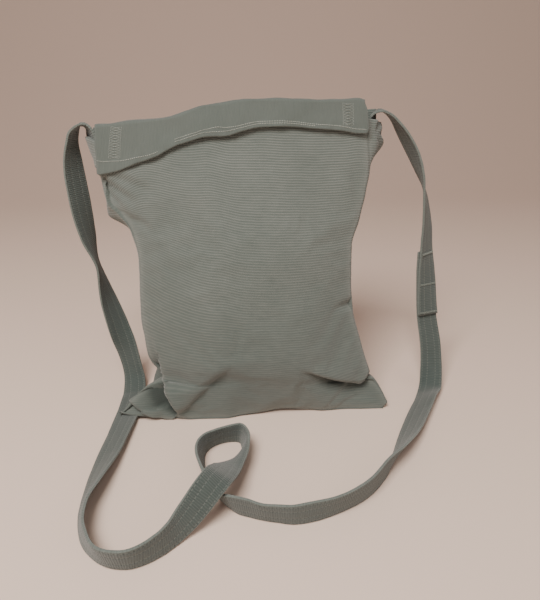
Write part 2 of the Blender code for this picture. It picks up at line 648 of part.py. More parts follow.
def make_tail_box(name, centres, across, faces, side, thread):
    """Box stitching with a diagonal, on the strap end inside a gusset."""
    inside = np.array((1 - 2 * side, 0, 0))
    first, last = centres[0], centres[int(TAIL_LENGTH / STRAP_STEP)]
    up = unit(last - first)
    face = faces[1] * np.sign(np.dot(faces[1], inside))
    middle = (first + last) / 2 + face * (STRAP_THICKNESS / 2 + 2 * SEAM_GAP)
    half = TAIL_STITCH_BOX / 2
    corners = ((-1, -1), (1, -1), (1, 1), (-1, 1), (-1 + STITCH / half, -1 + STITCH / half))
    points = [middle + across[1] * half * w + up * half * h for w, h in corners]
    return thread_run(name, points, [face] * len(points), thread)


def main():
    clear_scene()
    canvas = material("sage_canvas", (0.205, 0.226, 0.187), 0.92)
    strap_canvas = material("strap_canvas", (0.150, 0.178, 0.150), 0.90)
    tape = material("closing_tape", (0.120, 0.135, 0.115), 0.95)
    thread = material("sewing_thread", (0.330, 0.350, 0.290), 0.75)
    across = make_pouch(canvas)
    make_mouth_hems(canvas)
    make_flap(across, canvas, tape, thread)
    make_strap(strap_canvas, thread)


main()
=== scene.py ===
import math

import bmesh
import bpy
import numpy as np
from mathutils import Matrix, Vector, kdtree, noise


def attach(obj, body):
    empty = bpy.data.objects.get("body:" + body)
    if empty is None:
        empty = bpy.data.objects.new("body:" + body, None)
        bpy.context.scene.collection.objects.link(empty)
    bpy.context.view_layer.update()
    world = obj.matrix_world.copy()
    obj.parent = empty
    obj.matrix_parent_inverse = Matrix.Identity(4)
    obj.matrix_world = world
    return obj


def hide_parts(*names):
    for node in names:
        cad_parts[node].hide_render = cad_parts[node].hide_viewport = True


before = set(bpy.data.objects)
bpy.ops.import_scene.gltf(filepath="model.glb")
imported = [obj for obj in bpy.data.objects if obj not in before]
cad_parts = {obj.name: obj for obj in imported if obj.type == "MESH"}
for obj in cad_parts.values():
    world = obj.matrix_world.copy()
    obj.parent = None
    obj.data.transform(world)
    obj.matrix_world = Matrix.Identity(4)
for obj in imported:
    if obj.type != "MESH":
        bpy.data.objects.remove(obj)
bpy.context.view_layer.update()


# Pouch. Front, back, two side gussets and a bottom gusset are cut from one ribbed cotton canvas
# and sewn edge to edge with the seams inside. Stuffed, it swells between its seams, is drawn in
# at its sides, and keeps its bottom corners as flat ears.
POUCH_WIDTH = 0.312  # of the flat panels
POUCH_DEPTH = 0.100
FRONT_HEIGHT = 0.338
BACK_HEIGHT = 0.329
BACK_LEFT_SHARE = 0.945  # the back's height at its left end, as a share of that at its right
CANVAS = 0.0016
CLOTH_GRID = 0.0023  # how far apart the points of the cloth are
EAR_FINENESS = 0.45  # how much closer they are in the ears
GUSSET_TOP_LEVEL = 0.954  # the gussets stop here, and the panels go on to the mouth's edge
# Levels up the pouch, as shares of its height, and tables that go with them: the side edges of the
# front and back from the middle, as shares of half the width, and their seams as shares of the depth.
LEVELS = (0, 0.031, 0.074, 0.117, 0.166, 0.24, 0.338, 0.449, 0.56, 0.649, 0.729, 0.809, 0.889, 0.954, 1)
LEFT_FRONT_LEVELS = (0, 0.034, 0.0684, 0.097, 0.1234, 0.135, 0.143, 0.152, 0.1715, 0.189, 0.215, 0.239,
                     0.3, 0.338, 0.449, 0.56, 0.649, 0.729, 0.752, 0.809, 0.889, 0.954, 1)
LEFT_FRONT = (-1.01, -0.958, -0.921, -0.87, -0.807, -0.744, -0.68, -0.664, -0.695, -0.722, -0.757,
              -0.775, -0.79, -0.8, -0.805, -0.8, -0.835, -0.93, -0.985, -1.015, -1.02, -1.03, -1.03)
RIGHT_FRONT_LEVELS = (0, 0.0237, 0.044, 0.071, 0.1, 0.111, 0.118, 0.126, 0.137, 0.2, 0.24, 0.338, 0.449,
                      0.56, 0.649, 0.729, 0.809, 0.889, 0.954, 1)
RIGHT_FRONT = (0.955, 0.993, 0.973, 0.944, 0.903, 0.88, 0.835, 0.82, 0.835, 0.805, 0.78, 0.72, 0.7, 0.7,
               0.75, 0.795, 0.82, 0.805, 0.79, 0.775)
LEFT_BACK = (-0.78, -0.78, -0.76, -0.73, -0.71, -0.755, -0.805, -0.825, -0.835, -0.89, -0.975, -1.05,
             -1.08, -1.1, -1.1)
RIGHT_BACK = (0.8, 0.795, 0.78, 0.76, 0.755, 0.755, 0.735, 0.72, 0.725, 0.775, 0.82, 0.86, 0.92, 0.91,
              0.905)
FRONT_SEAM = (-0.42, -0.42, -0.41, -0.4, -0.39, -0.36, -0.29, -0.21, -0.13, -0.05, 0.02, 0.08, 0.13,
              0.16, 0.18)
BACK_SEAM = (0.28, 0.3, 0.32, 0.33, 0.34, 0.36, 0.36, 0.36, 0.36, 0.37, 0.39, 0.42, 0.46, 0.5, 0.52)
# how high the mouth's edge is, for places across it
MOUTH_PLACES = (0, 0.07, 0.142, 0.21, 0.26, 0.3, 0.34, 0.4, 0.47, 0.53, 0.59, 0.7, 0.8, 0.9, 0.96, 1)
MOUTH_HEIGHTS = (0.928, 0.9331, 0.9383, 0.944, 0.9481, 0.9545, 0.9661, 0.9854, 0.9897, 0.9976, 1.0015,
                 1.0002, 0.9976, 0.9982, 1.0025, 0.9987)
# how far the stuffing swells each panel between its seams; below 0, it is drawn in
PANEL_BULGE = 0.029
GUSSET_BULGE = 0.006
BULGE_POWER = 2.4
FRONT_SWELL = (0.31, 0.45, 0.62, 0.76, 0.88, 0.97, 1, 0.93, 0.8, 0.66, 0.52, 0.38, 0.24, 0.14, 0.07)
BACK_SWELL = (0.14, 0.27, 0.4, 0.52, 0.62, 0.74, 0.76, 0.7, 0.62, 0.55, 0.45, 0.34, 0.2, 0.1, 0)
LEFT_SWELL = (0, 0, 0, -0.5, -1, -1, -0.8, -0.6, -0.4, 0, 0, -0.5, -0.2, 0, 0)
RIGHT_SWELL = (0, -0.4, -1.2, -1.8, -1.6, -1, -0.8, -0.6, -0.6, -0.6, -0.4, 0, 0.25, 0, 0)
DRAWN_IN = (0.1, 0.6)  # how far back along a gusset it starts to be drawn in, and is in full
# the left ear lies on the strap
EAR_LIFT = 0.0085
EAR_SHARES = (-0.67, -0.87)
EAR_TOP_LEVEL = 0.117
# the strap's weight draws the tops of the side gussets outwards
GUSSET_FLARE = 0.0095
LEFT_FLARE = (0, 0, 0, 0, 0, 0, 0, 0, 0, 0, 0, 0.1, 0.65, 1.1, 1.2)
RIGHT_FLARE = (0, 0, 0, 0, 0, 0, 0, 0, 0, 0, 0, 0.1, 1, 1.15, 1.2)
GUSSET_RISES = (0.005, -0.001)
RISE_LEVEL = 0.88
# how far the left gusset is tucked in behind the ear, and where along it that sets in and ends
LEFT_TUCK_LEVELS = (0, 0.034, 0.0684, 0.097, 0.1234, 0.135, 0.152, 0.2, 0.24, 1)
LEFT_TUCK = (0, 0.028, 0.036, 0.031, 0.021, 0.013, 0.006, 0.003, 0, 0)
TUCK_SETS_IN, TUCK_ENDS = (0, 0.35), (0.9, 0.4)
LEFT_SAG = ((-0.15, 0.018, 0.222), 0.012, 0.013)  # where the left gusset sags, how wide and how far
SAG_WAY = (1, 0, 0.3)
PLEAT_FOOT = (0.112, 0.018, 0.307)  # the right gusset's pleats fan out from here
PLEATS, PLEAT_DEPTH, PLEAT_START, PLEAT_REACH = 7, 0.0014, 0.008, 0.034
SEAM_GROOVE, GROOVE_REACH = 0.0011, 0.003
WORN_REACH = 0.006  # how far from a seam the cloth is worn
# Folds of the front: places across and up it in mm with a share of the fold's strength; then, in
# mm, how far its left and right sides stand out, how deep it is, how far it laps over, and its
# width and reach.
FOLDS = (
    (((-104, 54, 0.3), (-102.5, 46, 0.9), (-99.5, 39, 1), (-95, 31, 1), (-90, 19, 0.9), (-89, 10, 0.5),
      (-94, 3, 0)), 13, -48, 0, 7, 3.5, 12),
    (((-156, 29, 0.2), (-149, 26, 0.9), (-138, 19.5, 1), (-127, 12, 1), (-117, 6.5, 0.8),
      (-108, 3, 0.3)), 5, -9, 0, 3, 1.6, 12),
    (((-27, 75, 0), (-38, 62, 0.7), (-52, 48, 1), (-67, 32, 1), (-80, 18, 0.9), (-88, 9, 0.3)),
     -10, 6, 2, 0, 6, 20),
    (((48, 62, 0), (60, 59, 0.3), (72, 54, 0.7), (88, 47.5, 1), (104, 41.5, 1), (118, 36.5, 1),
      (126, 37, 0.9), (132, 41, 0.4)), 8, -18, 2, 6, 2.5, 14),
    (((119, 33, 0.3), (124, 38, 1), (129, 43, 1), (134, 46, 0.3)), 2, -4, 5, 1, 2, 5),
    (((-75, 60, 0), (-62, 63.4, 0.4), (-29.4, 60, 0.8), (5.4, 55.7, 1), (47.6, 55, 0.6), (60, 55, 0)),
     2.5, -3, 0, 0, 10, 26),
    (((105, 276, 0), (106.5, 265, 1), (109, 253, 1), (111.5, 228, 0)), -1.5, 1.5, 0.6, 0, 3, 10),
    (((-158, 262, 1), (-150, 256, 1), (-138, 248, 0.8), (-122, 238, 0)), 7, -8, 6, 0, 4, 11),
    (((-157, 252, 0.8), (-147, 241, 1), (-136, 230, 0)), 6, -7, 5, 0, 3.5, 10),
    (((-156, 270, 0.6), (-140, 264, 1), (-118, 256, 0.5), (-100, 250, 0)), 5, -5, 3, 0, 4.5, 13),
    (((78, 1, 0), (84.6, 13, 0.8), (96, 24, 1), (110, 33, 0.6), (118, 36, 0)), 2, -2, 0.7, 0, 3, 8),
    (((88, 1, 0), (102.6, 12.5, 1), (118, 18, 0.8), (134, 20, 0)), 2, -2, 0.7, 0, 3, 8),
    (((112, 126, 1), (100, 126, 0.7), (84, 125, 0)), 1, -1, 6, 0, 5, 10),
    (((-139, 228, 0.9), (-130, 222, 1), (-120, 219, 0.7), (-105, 209, 0)), 3, -3, 3, 0, 4, 14),
    (((-25, 144, 0), (-17, 113, 0.7), (-22, 89, 0.7), (-30, 76, 0)), 1, -1, 2, 0, 5, 12))
FOLD_EDGE = 0.0022  # how sharply a fold turns over
# the depth of a fold's low side at which the shade painted into its hollow is full
HOLLOW_DEPTH = 0.028
FORWARDS = (0.1, 0.55)  # how far the cloth faces forwards where folds set in, and are full
SIDEWAYS = (0.2, 0.6)  # the same for the gussets' sag and pleats, and facing sideways
FOLDS_END = 0.5  # how far back along the gussets the front's folds go
# where the front's foot stands: places across it, how far back and how far up it is moved, in mm
FOOT = ((-160, -6, -3), (-148, -12, -3.5), (-136, -15, -4.5), (-122, -11, -2.5), (-105, -5, 0),
        (-88, -5, 0), (-66, -7, 0), (-36, -7, 0), (-18, -2, 0.5), (0, 0.5, 1), (30, 5, 3), (60, 4, 0.5),
        (78, 0, 0), (100, -1, 0), (128, -5, 0), (160, -9, 0))
FOOT_REACH = 0.02
FOOT_FRONT = -0.03  # the moves are full in front of here, and end in the pouch's middle
# shallow swells all over: how high and long they are, their seed, and how much they are stretched
SWELLS = ((0.0016, 0.055, 1.7, 0.7), (0.0006, 0.021, 4.4, 1))
SWELLS_START = (0.001, 0.02)
# The front's ribs fall to the right on its left half, and rise from the edge at its top left corner.
# For each: the ribs' slope, how far across it ends, how gently, and over what heights it sets in.
RIB_SLOPES = ((-0.29, 0.002, 0.018, (0.03, 0.2)), (1.0, -0.115, 0.008, (0.215, 0.27)))


def curve(x, y, slopes, at):
    """Values along a smooth curve through those at x, with the given slopes there."""
    k = np.clip(np.searchsorted(x, at) - 1, 0, len(x) - 2)
    shape = np.shape(at) + (1,) * (y.ndim - 1)
    span, past = np.reshape(x[k + 1] - x[k], shape), np.reshape(at - x[k], shape)
    t = past / span
    return (y[k] * (1 + 2 * t) * (1 - t) ** 2 + slopes[k] * span * t * (1 - t) ** 2
            + y[k + 1] * t * t * (3 - 2 * t) + slopes[k + 1] * span * t * t * (t - 1))


def eased(values, places, at):
    """Reads a table along a smooth curve that never overshoots it."""
    x, y = np.asarray(places, float), np.asarray(values, float)
    steps = np.diff(y) / np.diff(x)
    before, after = steps[:-1], steps[1:]
    same_way = before * after > 0
    slopes = np.concatenate([steps[:1], np.zeros(len(y) - 2), steps[-1:]])
    slopes[1:-1][same_way] = (2 * before * after)[same_way] / (before + after)[same_way]
    return curve(x, y, slopes, np.clip(at, x[0], x[-1]))


def smooth(low, high, value):
    """0 below low, 1 above high, and an eased rise between."""
    t = np.clip((value - low) / (high - low), 0, 1)
    return t * t * (3 - 2 * t)


def crown(across):
    return 1 - abs(2 * across - 1) ** BULGE_POWER


def raised(x, y, height, level):
    """Puts a place of the pouch at its height, with the left ear lifted by the strap under it."""
    start, full = (POUCH_WIDTH / 2 * share for share in EAR_SHARES)
    lift = (EAR_LIFT * smooth(0, 1, (x - start) / (full - start))
            * np.maximum(0, 1 - level / EAR_TOP_LEVEL))
    return np.stack([x, y, height * level + lift], -1)


def front_place(across, level):
    left = eased(LEFT_FRONT, LEFT_FRONT_LEVELS, level)
    right = eased(RIGHT_FRONT, RIGHT_FRONT_LEVELS, level)
    seam, swell = eased(FRONT_SEAM, LEVELS, level), eased(FRONT_SWELL, LEVELS, level)
    return raised(POUCH_WIDTH / 2 * (left + (right - left) * across),
                  POUCH_DEPTH * seam - PANEL_BULGE * swell * crown(across),
                  FRONT_HEIGHT * eased(MOUTH_HEIGHTS, MOUTH_PLACES, across), level)


def back_place(across, level):
    left, right, seam, swell = (eased(table, LEVELS, level)
                                for table in (LEFT_BACK, RIGHT_BACK, BACK_SEAM, BACK_SWELL))
    return raised(POUCH_WIDTH / 2 * (left + (right - left) * across),
                  POUCH_DEPTH * seam + PANEL_BULGE * swell * crown(across),
                  BACK_HEIGHT * (BACK_LEFT_SHARE + (1 - BACK_LEFT_SHARE) * across), level)


def gusset_place(side, along, level):
    front, back = front_place(side + 0 * level, level), back_place(side + 0 * level, level)
    outward = np.array((2 * side - 1, 0, 0))
    flare = GUSSET_FLARE * eased(RIGHT_FLARE if side else LEFT_FLARE, LEVELS, level)
    swell = eased(RIGHT_SWELL if side else LEFT_SWELL, LEVELS, level)
    swell = np.where(swell < 0, swell * smooth(*DRAWN_IN, along), swell)
    swell = (GUSSET_BULGE * swell + flare) * crown(along)
    if side == 0:
        swell = swell - (eased(LEFT_TUCK, LEFT_TUCK_LEVELS, level) * smooth(*TUCK_SETS_IN, along)
                         * smooth(*TUCK_ENDS, along))
    rise = GUSSET_RISES[side] * crown(along) * smooth(RISE_LEVEL, GUSSET_TOP_LEVEL, level)
    return (front + (back - front) * along[..., None] + outward * swell[..., None]
            + rise[..., None] * (0, 0, 1))


def near_line(points, line):
    """For each flat point: how far a drawn line is, the way out to its left side, whether the point is
    on that side (1 or -1), and the line's strength there."""
    ways = np.diff(line[:, :2], axis=0)
    lengths = np.linalg.norm(ways, axis=1)
    offset = points[:, None] - line[:-1, :2]
    t = np.clip((offset * ways).sum(2) / lengths ** 2, 0, 1)
    distance = np.linalg.norm(offset - ways * t[..., None], axis=2)
    best, pick = distance.argmin(1), np.arange(len(points))
    leftward = (ways[:, ::-1] * (-1, 1) / lengths[:, None])[best]
    side = np.sign((leftward * offset[pick, best]).sum(1))
    strength = line[best, 2] + (line[best + 1, 2] - line[best, 2]) * t[pick, best]
    return distance[pick, best], leftward, side, strength


def folded(points, outward, weight):
    """Lays the front's folds into its cloth, and says for each point how much shade is painted into its
    colour in a fold's hollow, up to 1.
    """
    moved, hollow = points.copy(), np.zeros(len(points))
    for line, *sizes in FOLDS:
        line = np.array(line) / (1000, 1000, 1)
        on_left, on_right, depth, lap, width, reach = (value / 1000 for value in sizes)
        distance, leftward, side, strength = near_line(points[:, (0, 2)], line)
        strength = strength * weight
        stands_out = np.where(side > 0, on_left, on_right)
        out = (stands_out * (1 - np.exp(-distance / width)) * np.exp(-distance / reach)
               - depth * np.exp(-(distance / width) ** 2)) * strength
        over = (-lap * (0.25 + 0.75 * np.tanh(side * distance / FOLD_EDGE))
                * np.exp(-distance / (2 * width)) * strength)
        moved += outward * out[:, None]
        moved[:, 0] += leftward[:, 0] * over
        moved[:, 2] += leftward[:, 1] * over
        # Painted shade: each fold's low side is darkened in colour, most near the fold's line and where
        # that side lies deep.
        low_side = np.maximum(0, -stands_out)
        hollow += (low_side / HOLLOW_DEPTH) ** 3 * np.exp(-(distance / (1.5 * reach)) ** 2) * strength
    return moved, np.minimum(hollow, 1)


def wavy(points, size, seed):
    """Smooth uneven waves of about the given size, from -1 to 1, the same at each run."""
    shift = Vector((seed, 2.3 * seed, 5.1 * seed))
    return np.array([noise.noise(Vector(p) / size + shift) for p in points])


columns = round(POUCH_WIDTH / CLOTH_GRID)
gusset_columns = round(0.8 * POUCH_DEPTH / CLOTH_GRID)
rows = round(FRONT_HEIGHT * GUSSET_TOP_LEVEL / CLOTH_GRID)
top_rows = round(FRONT_HEIGHT * (1 - GUSSET_TOP_LEVEL) / CLOTH_GRID)
loop = 2 * (columns + gusset_columns)
wide, deep = np.linspace(0, 1, columns + 1), np.linspace(0, 1, gusset_columns + 1)
wide = wide + EAR_FINENESS * np.sin(4 * math.pi * wide) / (4 * math.pi)
low_levels = np.linspace(0, 1, rows + 1)
low_levels = GUSSET_TOP_LEVEL * (low_levels - EAR_FINENESS * np.sin(math.pi * low_levels) / math.pi)
high_levels = np.linspace(GUSSET_TOP_LEVEL, 1, top_rows + 1)[1:]


def on_grid(place, across, levels):
    grid_across, grid_levels = np.meshgrid(across, levels)
    return place(grid_across, grid_levels)


ring = np.concatenate([
    on_grid(front_place, wide[:-1], low_levels),
    on_grid(lambda a, h: gusset_place(1, a, h), deep[:-1], low_levels),
    on_grid(back_place, wide[:0:-1], low_levels),
    on_grid(lambda a, h: gusset_place(0, a, h), deep[:0:-1], low_levels)], axis=1)
front_top = on_grid(front_place, wide, high_levels)
back_top = on_grid(back_place, wide[::-1], high_levels)
base_across, base_along = np.meshgrid(wide[1:-1], deep[1:-1])
base_front, base_back = (place(base_across, 0 * base_across) for place in (front_place, back_place))
base = base_front + (base_back - base_front) * base_along[..., None]
places = np.concatenate([part.reshape(-1, 3) for part in (ring, front_top, back_top, base)])
ring_at = np.arange(ring.shape[0] * loop).reshape(-1, loop)
front_at = ring_at.size + np.arange(front_top.shape[0] * (columns + 1)).reshape(-1, columns + 1)
back_at = front_at.max() + 1 + np.arange(back_top.shape[0] * (columns + 1)).reshape(-1, columns + 1)
inner_base = back_at.max() + 1 + np.arange(base.shape[0] * base.shape[1]).reshape(base.shape[:2])

# the four corners of the loop are the seams, and the bottom shares the loop's lowest row
right_front, right_back = columns, columns + gusset_columns
left_back = right_back + columns
looped = np.concatenate([ring_at, ring_at[:, :1]], axis=1)
base_at = np.empty((gusset_columns + 1, columns + 1), int)
base_at[0], base_at[-1] = looped[0, :columns + 1], looped[0, right_back:left_back + 1][::-1]
base_at[:, -1], base_at[:, 0] = looped[0, right_front:right_back + 1], looped[0, left_back:][::-1]
base_at[1:-1, 1:-1] = inner_base
front_grid = np.concatenate([looped[:, :columns + 1], front_at])
back_grid = np.concatenate([looped[:, right_back:left_back + 1], back_at])
all_levels = np.concatenate([low_levels, high_levels])


def normals_of(points, quads):
    a, b, c, d = (points[quads[:, i]] for i in range(4))
    flat = np.cross(c - a, d - b)
    total = np.zeros_like(points)
    for i in range(4):
        np.add.at(total, quads[:, i], flat)
    return total / np.maximum(np.linalg.norm(total, axis=1), 1e-12)[:, None]


def quad_corners(table):
    """The four corners of each cell of a table, in turn."""
    return np.stack([table[:-1, :-1], table[:-1, 1:], table[1:, 1:], table[1:, :-1]], 2).reshape(
        -1, 4, *table.shape[2:])


def cloth_map(across, up):
    """A panel's own map in metres, across and up it."""
    return np.stack(np.meshgrid(across, up), -1)


front_map = cloth_map(wide * POUCH_WIDTH, all_levels * FRONT_HEIGHT)
flat_across, flat_up = front_map[..., 0] - POUCH_WIDTH / 2, front_map[..., 1].copy()
for slope, end, turn, heights in RIB_SLOPES:
    run = turn * np.log1p(np.exp((end - flat_across) / turn))
    front_map[..., 1] += slope * run * smooth(*heights, flat_up)
gusset_up, back_up = low_levels * FRONT_HEIGHT, all_levels * FRONT_HEIGHT
panels = [(quad_corners(grid), quad_corners(uv)) for grid, uv in (
    (front_grid, front_map),
    (looped[:, right_front:right_back + 1], cloth_map(0.5 + deep * POUCH_DEPTH, gusset_up)),
    (back_grid, cloth_map(1 + wide * POUCH_WIDTH, back_up)),
    (looped[:, left_back:], cloth_map(1.5 + deep * POUCH_DEPTH, gusset_up)))]
# the bottom faces down, so its corners are taken the other way round
panels.append((quad_corners(base_at)[:, ::-1],
               quad_corners(cloth_map(2 + wide * POUCH_WIDTH, 1 + deep * POUCH_DEPTH))[:, ::-1]))
quads, cloth_uv = (np.concatenate(part) for part in zip(*panels))

# how near each point is to a seam, for the groove there and the wear beside it
seam_points = places[np.concatenate([*(looped[:, i] for i in (0, right_front, right_back, left_back)),
                                     base_at[0], base_at[-1]])]
tree = kdtree.KDTree(len(seam_points))
for i, place in enumerate(seam_points):
    tree.insert(place, i)
tree.balance()
seam_distance = np.array([tree.find(place)[2] for place in places])

normals = normals_of(places, quads)
places = places - normals * (SEAM_GROOVE * np.exp(-(seam_distance / GROOVE_REACH) ** 2))[:, None]
in_front = np.zeros(len(places))
in_front[looped[:, right_front:right_back]] = smooth(FOLDS_END, 0, deep[:-1])
in_front[looped[:, left_back:-1]] = smooth(FOLDS_END, 0, deep[:0:-1])
in_front[front_grid] = 1
# the folds also say how much shade is painted into the cloth's colour in their hollows
places, fold_shade = folded(places, normals, smooth(*FORWARDS, -normals[:, 1]) * in_front)
foot_across, foot_back, foot_up = np.array(FOOT).T / 1000
near_foot = np.exp(-places[:, 2] / FOOT_REACH) * smooth(0, FOOT_FRONT, places[:, 1])
places[:, 1] += eased(foot_back, foot_across, places[:, 0]) * near_foot
places[:, 2] += eased(foot_up, foot_across, places[:, 0]) * near_foot
sag_middle, sag_width, sag_depth = LEFT_SAG
sag = sag_depth * np.exp(-(np.linalg.norm(places - sag_middle, axis=1) / sag_width) ** 2)
places = places - (sag * smooth(*SIDEWAYS, -normals[:, 0]))[:, None] * SAG_WAY
spoke = places - PLEAT_FOOT
fan = np.sin(PLEATS * np.arctan2(spoke[:, 2], spoke[:, 1])) * smooth(*SIDEWAYS, normals[:, 0])
far = np.linalg.norm(spoke[:, 1:], axis=1)
pleat = PLEAT_DEPTH * fan * smooth(0, PLEAT_START, far) * np.exp(-(far / PLEAT_REACH) ** 4)
places = places + normals * pleat[:, None]
swells = sum(high * wavy(places * (1, 1, stretch), long, seed) for high, long, seed, stretch in SWELLS)
places = places + normals * (swells * smooth(*SWELLS_START, places[:, 2]))[:, None]


def put_in(name, data):
    """A new object in the scene, for a mesh, a lamp or a camera."""
    made = bpy.data.objects.new(name, data)
    bpy.context.scene.collection.objects.link(made)
    return made


def cloth_mesh(name, points, faces, uv):
    mesh = bpy.data.meshes.new(name)
    mesh.from_pydata(points.tolist(), [], faces.tolist())
    layer = mesh.uv_layers.new(name="weave")
    layer.data.foreach_set("uv", uv.reshape(-1))
    mesh.polygons.foreach_set("use_smooth", [True] * len(faces))
    return put_in(name, mesh)


def applied(piece, kind, **settings):
    modifier = piece.modifiers.new(kind.lower(), kind)
    for setting, value in settings.items():
        setattr(modifier, setting, value)
    bpy.ops.object.select_all(action="DESELECT")
    bpy.context.view_layer.objects.active = piece
    piece.select_set(True)
    bpy.ops.object.modifier_apply(modifier=modifier.name)
    piece.select_set(False)


# The cloth is cut a little larger than the stuffed shape, so between its seams it settles into
# small uneven wrinkles; it is held at the seams, at the mouth and where it stands.
CLOTH_EASE = 0.005
SETTLING_STEPS = 11
MOST_SETTLING = 0.003
HELD_BY_SEAM = 0.005
HELD_HEIGHTS = ((0.215, 0.25), (0.006, 0.003))  # the mouth is held from here up, and the foot down
held = np.maximum.reduce([np.exp(-(seam_distance / HELD_BY_SEAM) ** 2),
                          *(smooth(*heights, places[:, 2]) for heights in HELD_HEIGHTS)])
settling = cloth_mesh("cloth_settling", places, quads, cloth_uv)
pins = settling.vertex_groups.new(name="held")
for i, share in enumerate(held):
    pins.add([i], float(share), "REPLACE")
cloth = settling.modifiers.new("cloth", "CLOTH")
for setting, value in {
        "quality": 4, "mass": 0.2, "tension_stiffness": 18, "compression_stiffness": 18,
        "shear_stiffness": 6, "bending_stiffness": 4, "air_damping": 3, "shrink_min": -CLOTH_EASE,
        "vertex_group_mass": "held", "use_pressure": True, "uniform_pressure_force": 0.4}.items():
    setattr(cloth.settings, setting, value)
cloth.settings.effector_weights.gravity = 0
cloth.collision_settings.use_collision = False
cloth.point_cache.frame_end = SETTLING_STEPS
for step in range(1, SETTLING_STEPS + 1):
    bpy.context.scene.frame_set(step)
seen = settling.evaluated_get(bpy.context.evaluated_depsgraph_get())
settled = np.empty(len(places) * 3, np.float32)
seen.data.vertices.foreach_get("co", settled)
bpy.context.scene.frame_set(1)
bpy.data.objects.remove(settling)
move = settled.reshape(-1, 3) - places
moved_by = np.linalg.norm(move, axis=1)[:, None]
places = places + move * np.minimum(1, MOST_SETTLING / np.maximum(moved_by, 1e-9))
places[:, 2] = np.maximum(places[:, 2], 0)

pouch = cloth_mesh("pouch_canvas_shell", places, quads, cloth_uv)
near_seam = np.exp(-(seam_distance / WORN_REACH) ** 2)
# the points carry how near a seam they are, for the wear there, and how much shade is painted into them
# in the folds' hollows
for name, values in (("near_seam", near_seam), ("painted_fold_shade", fold_shade)):
    attribute = pouch.data.attributes.new(name, "FLOAT", "POINT")
    attribute.data.foreach_set("value", values.astype(np.float32))
applied(pouch, "SOLIDIFY", thickness=CANVAS, offset=-1)


class Wire:
    """A shader socket that sums can be written with."""

    def __init__(self, tree, socket=None):
        self.tree, self.socket = tree, socket

    def node(self, kind, inputs=None, output=0, **settings):
        made = self.tree.nodes.new("ShaderNode" + kind)
        for name, value in settings.items():
            setattr(made, name, value)
        for name, value in (inputs or {}).items():
            if isinstance(value, Wire):
                self.tree.links.new(value.socket, made.inputs[name])
            else:
                made.inputs[name].default_value = value
        return Wire(self.tree, made.outputs[output])

    def math(self, operation, *values):
        return self.node("Math", dict(enumerate(values)), operation=operation)

    def clamped(self):
        return self.node("Clamp", {0: self})

    def __add__(self, other):
        return self.math("ADD", self, other)

    def __sub__(self, other):
        return self.math("SUBTRACT", self, other)

    def __mul__(self, other):
        return self.math("MULTIPLY", self, other)

    def __truediv__(self, other):
        return self.math("DIVIDE", self, other)


def mixed(wire, share, first, second):
    """A colour between two others."""
    first, second = (value if isinstance(value, Wire) else (*value, 1) for value in (first, second))
    return wire.node("Mix", {0: share, 6: first, 7: second}, output=2, data_type="RGBA")


def mottle(wire, place, scale, detail, roughness=0.5):
    """Soft uneven spots from 0 to 1, scale of them to a metre."""
    return wire.node("TexNoise", {"Vector": place, "Scale": scale, "Detail": detail,
                                  "Roughness": roughness})


def finish(name, sockets):
    """A new material, its shader, and the wire that its nodes are added by."""
    material = bpy.data.materials.new(name)
    material.use_nodes = True
    shader = material.node_tree.nodes["Principled BSDF"]
    for socket, value in sockets.items():
        shader.inputs[socket].default_value = value
    return material, shader, Wire(material.node_tree)


def feed(wire, shader, colour, roughness, relief, distance):
    """Joins a pattern to a shader; relief is a height from 0 to 1, and distance is its real depth."""
    bump = wire.node("Bump", {"Height": relief, "Strength": 1.0, "Distance": distance})
    for socket, value in (("Base Color", colour), ("Roughness", roughness), ("Normal", bump)):
        wire.tree.links.new(value.socket, shader.inputs[socket])


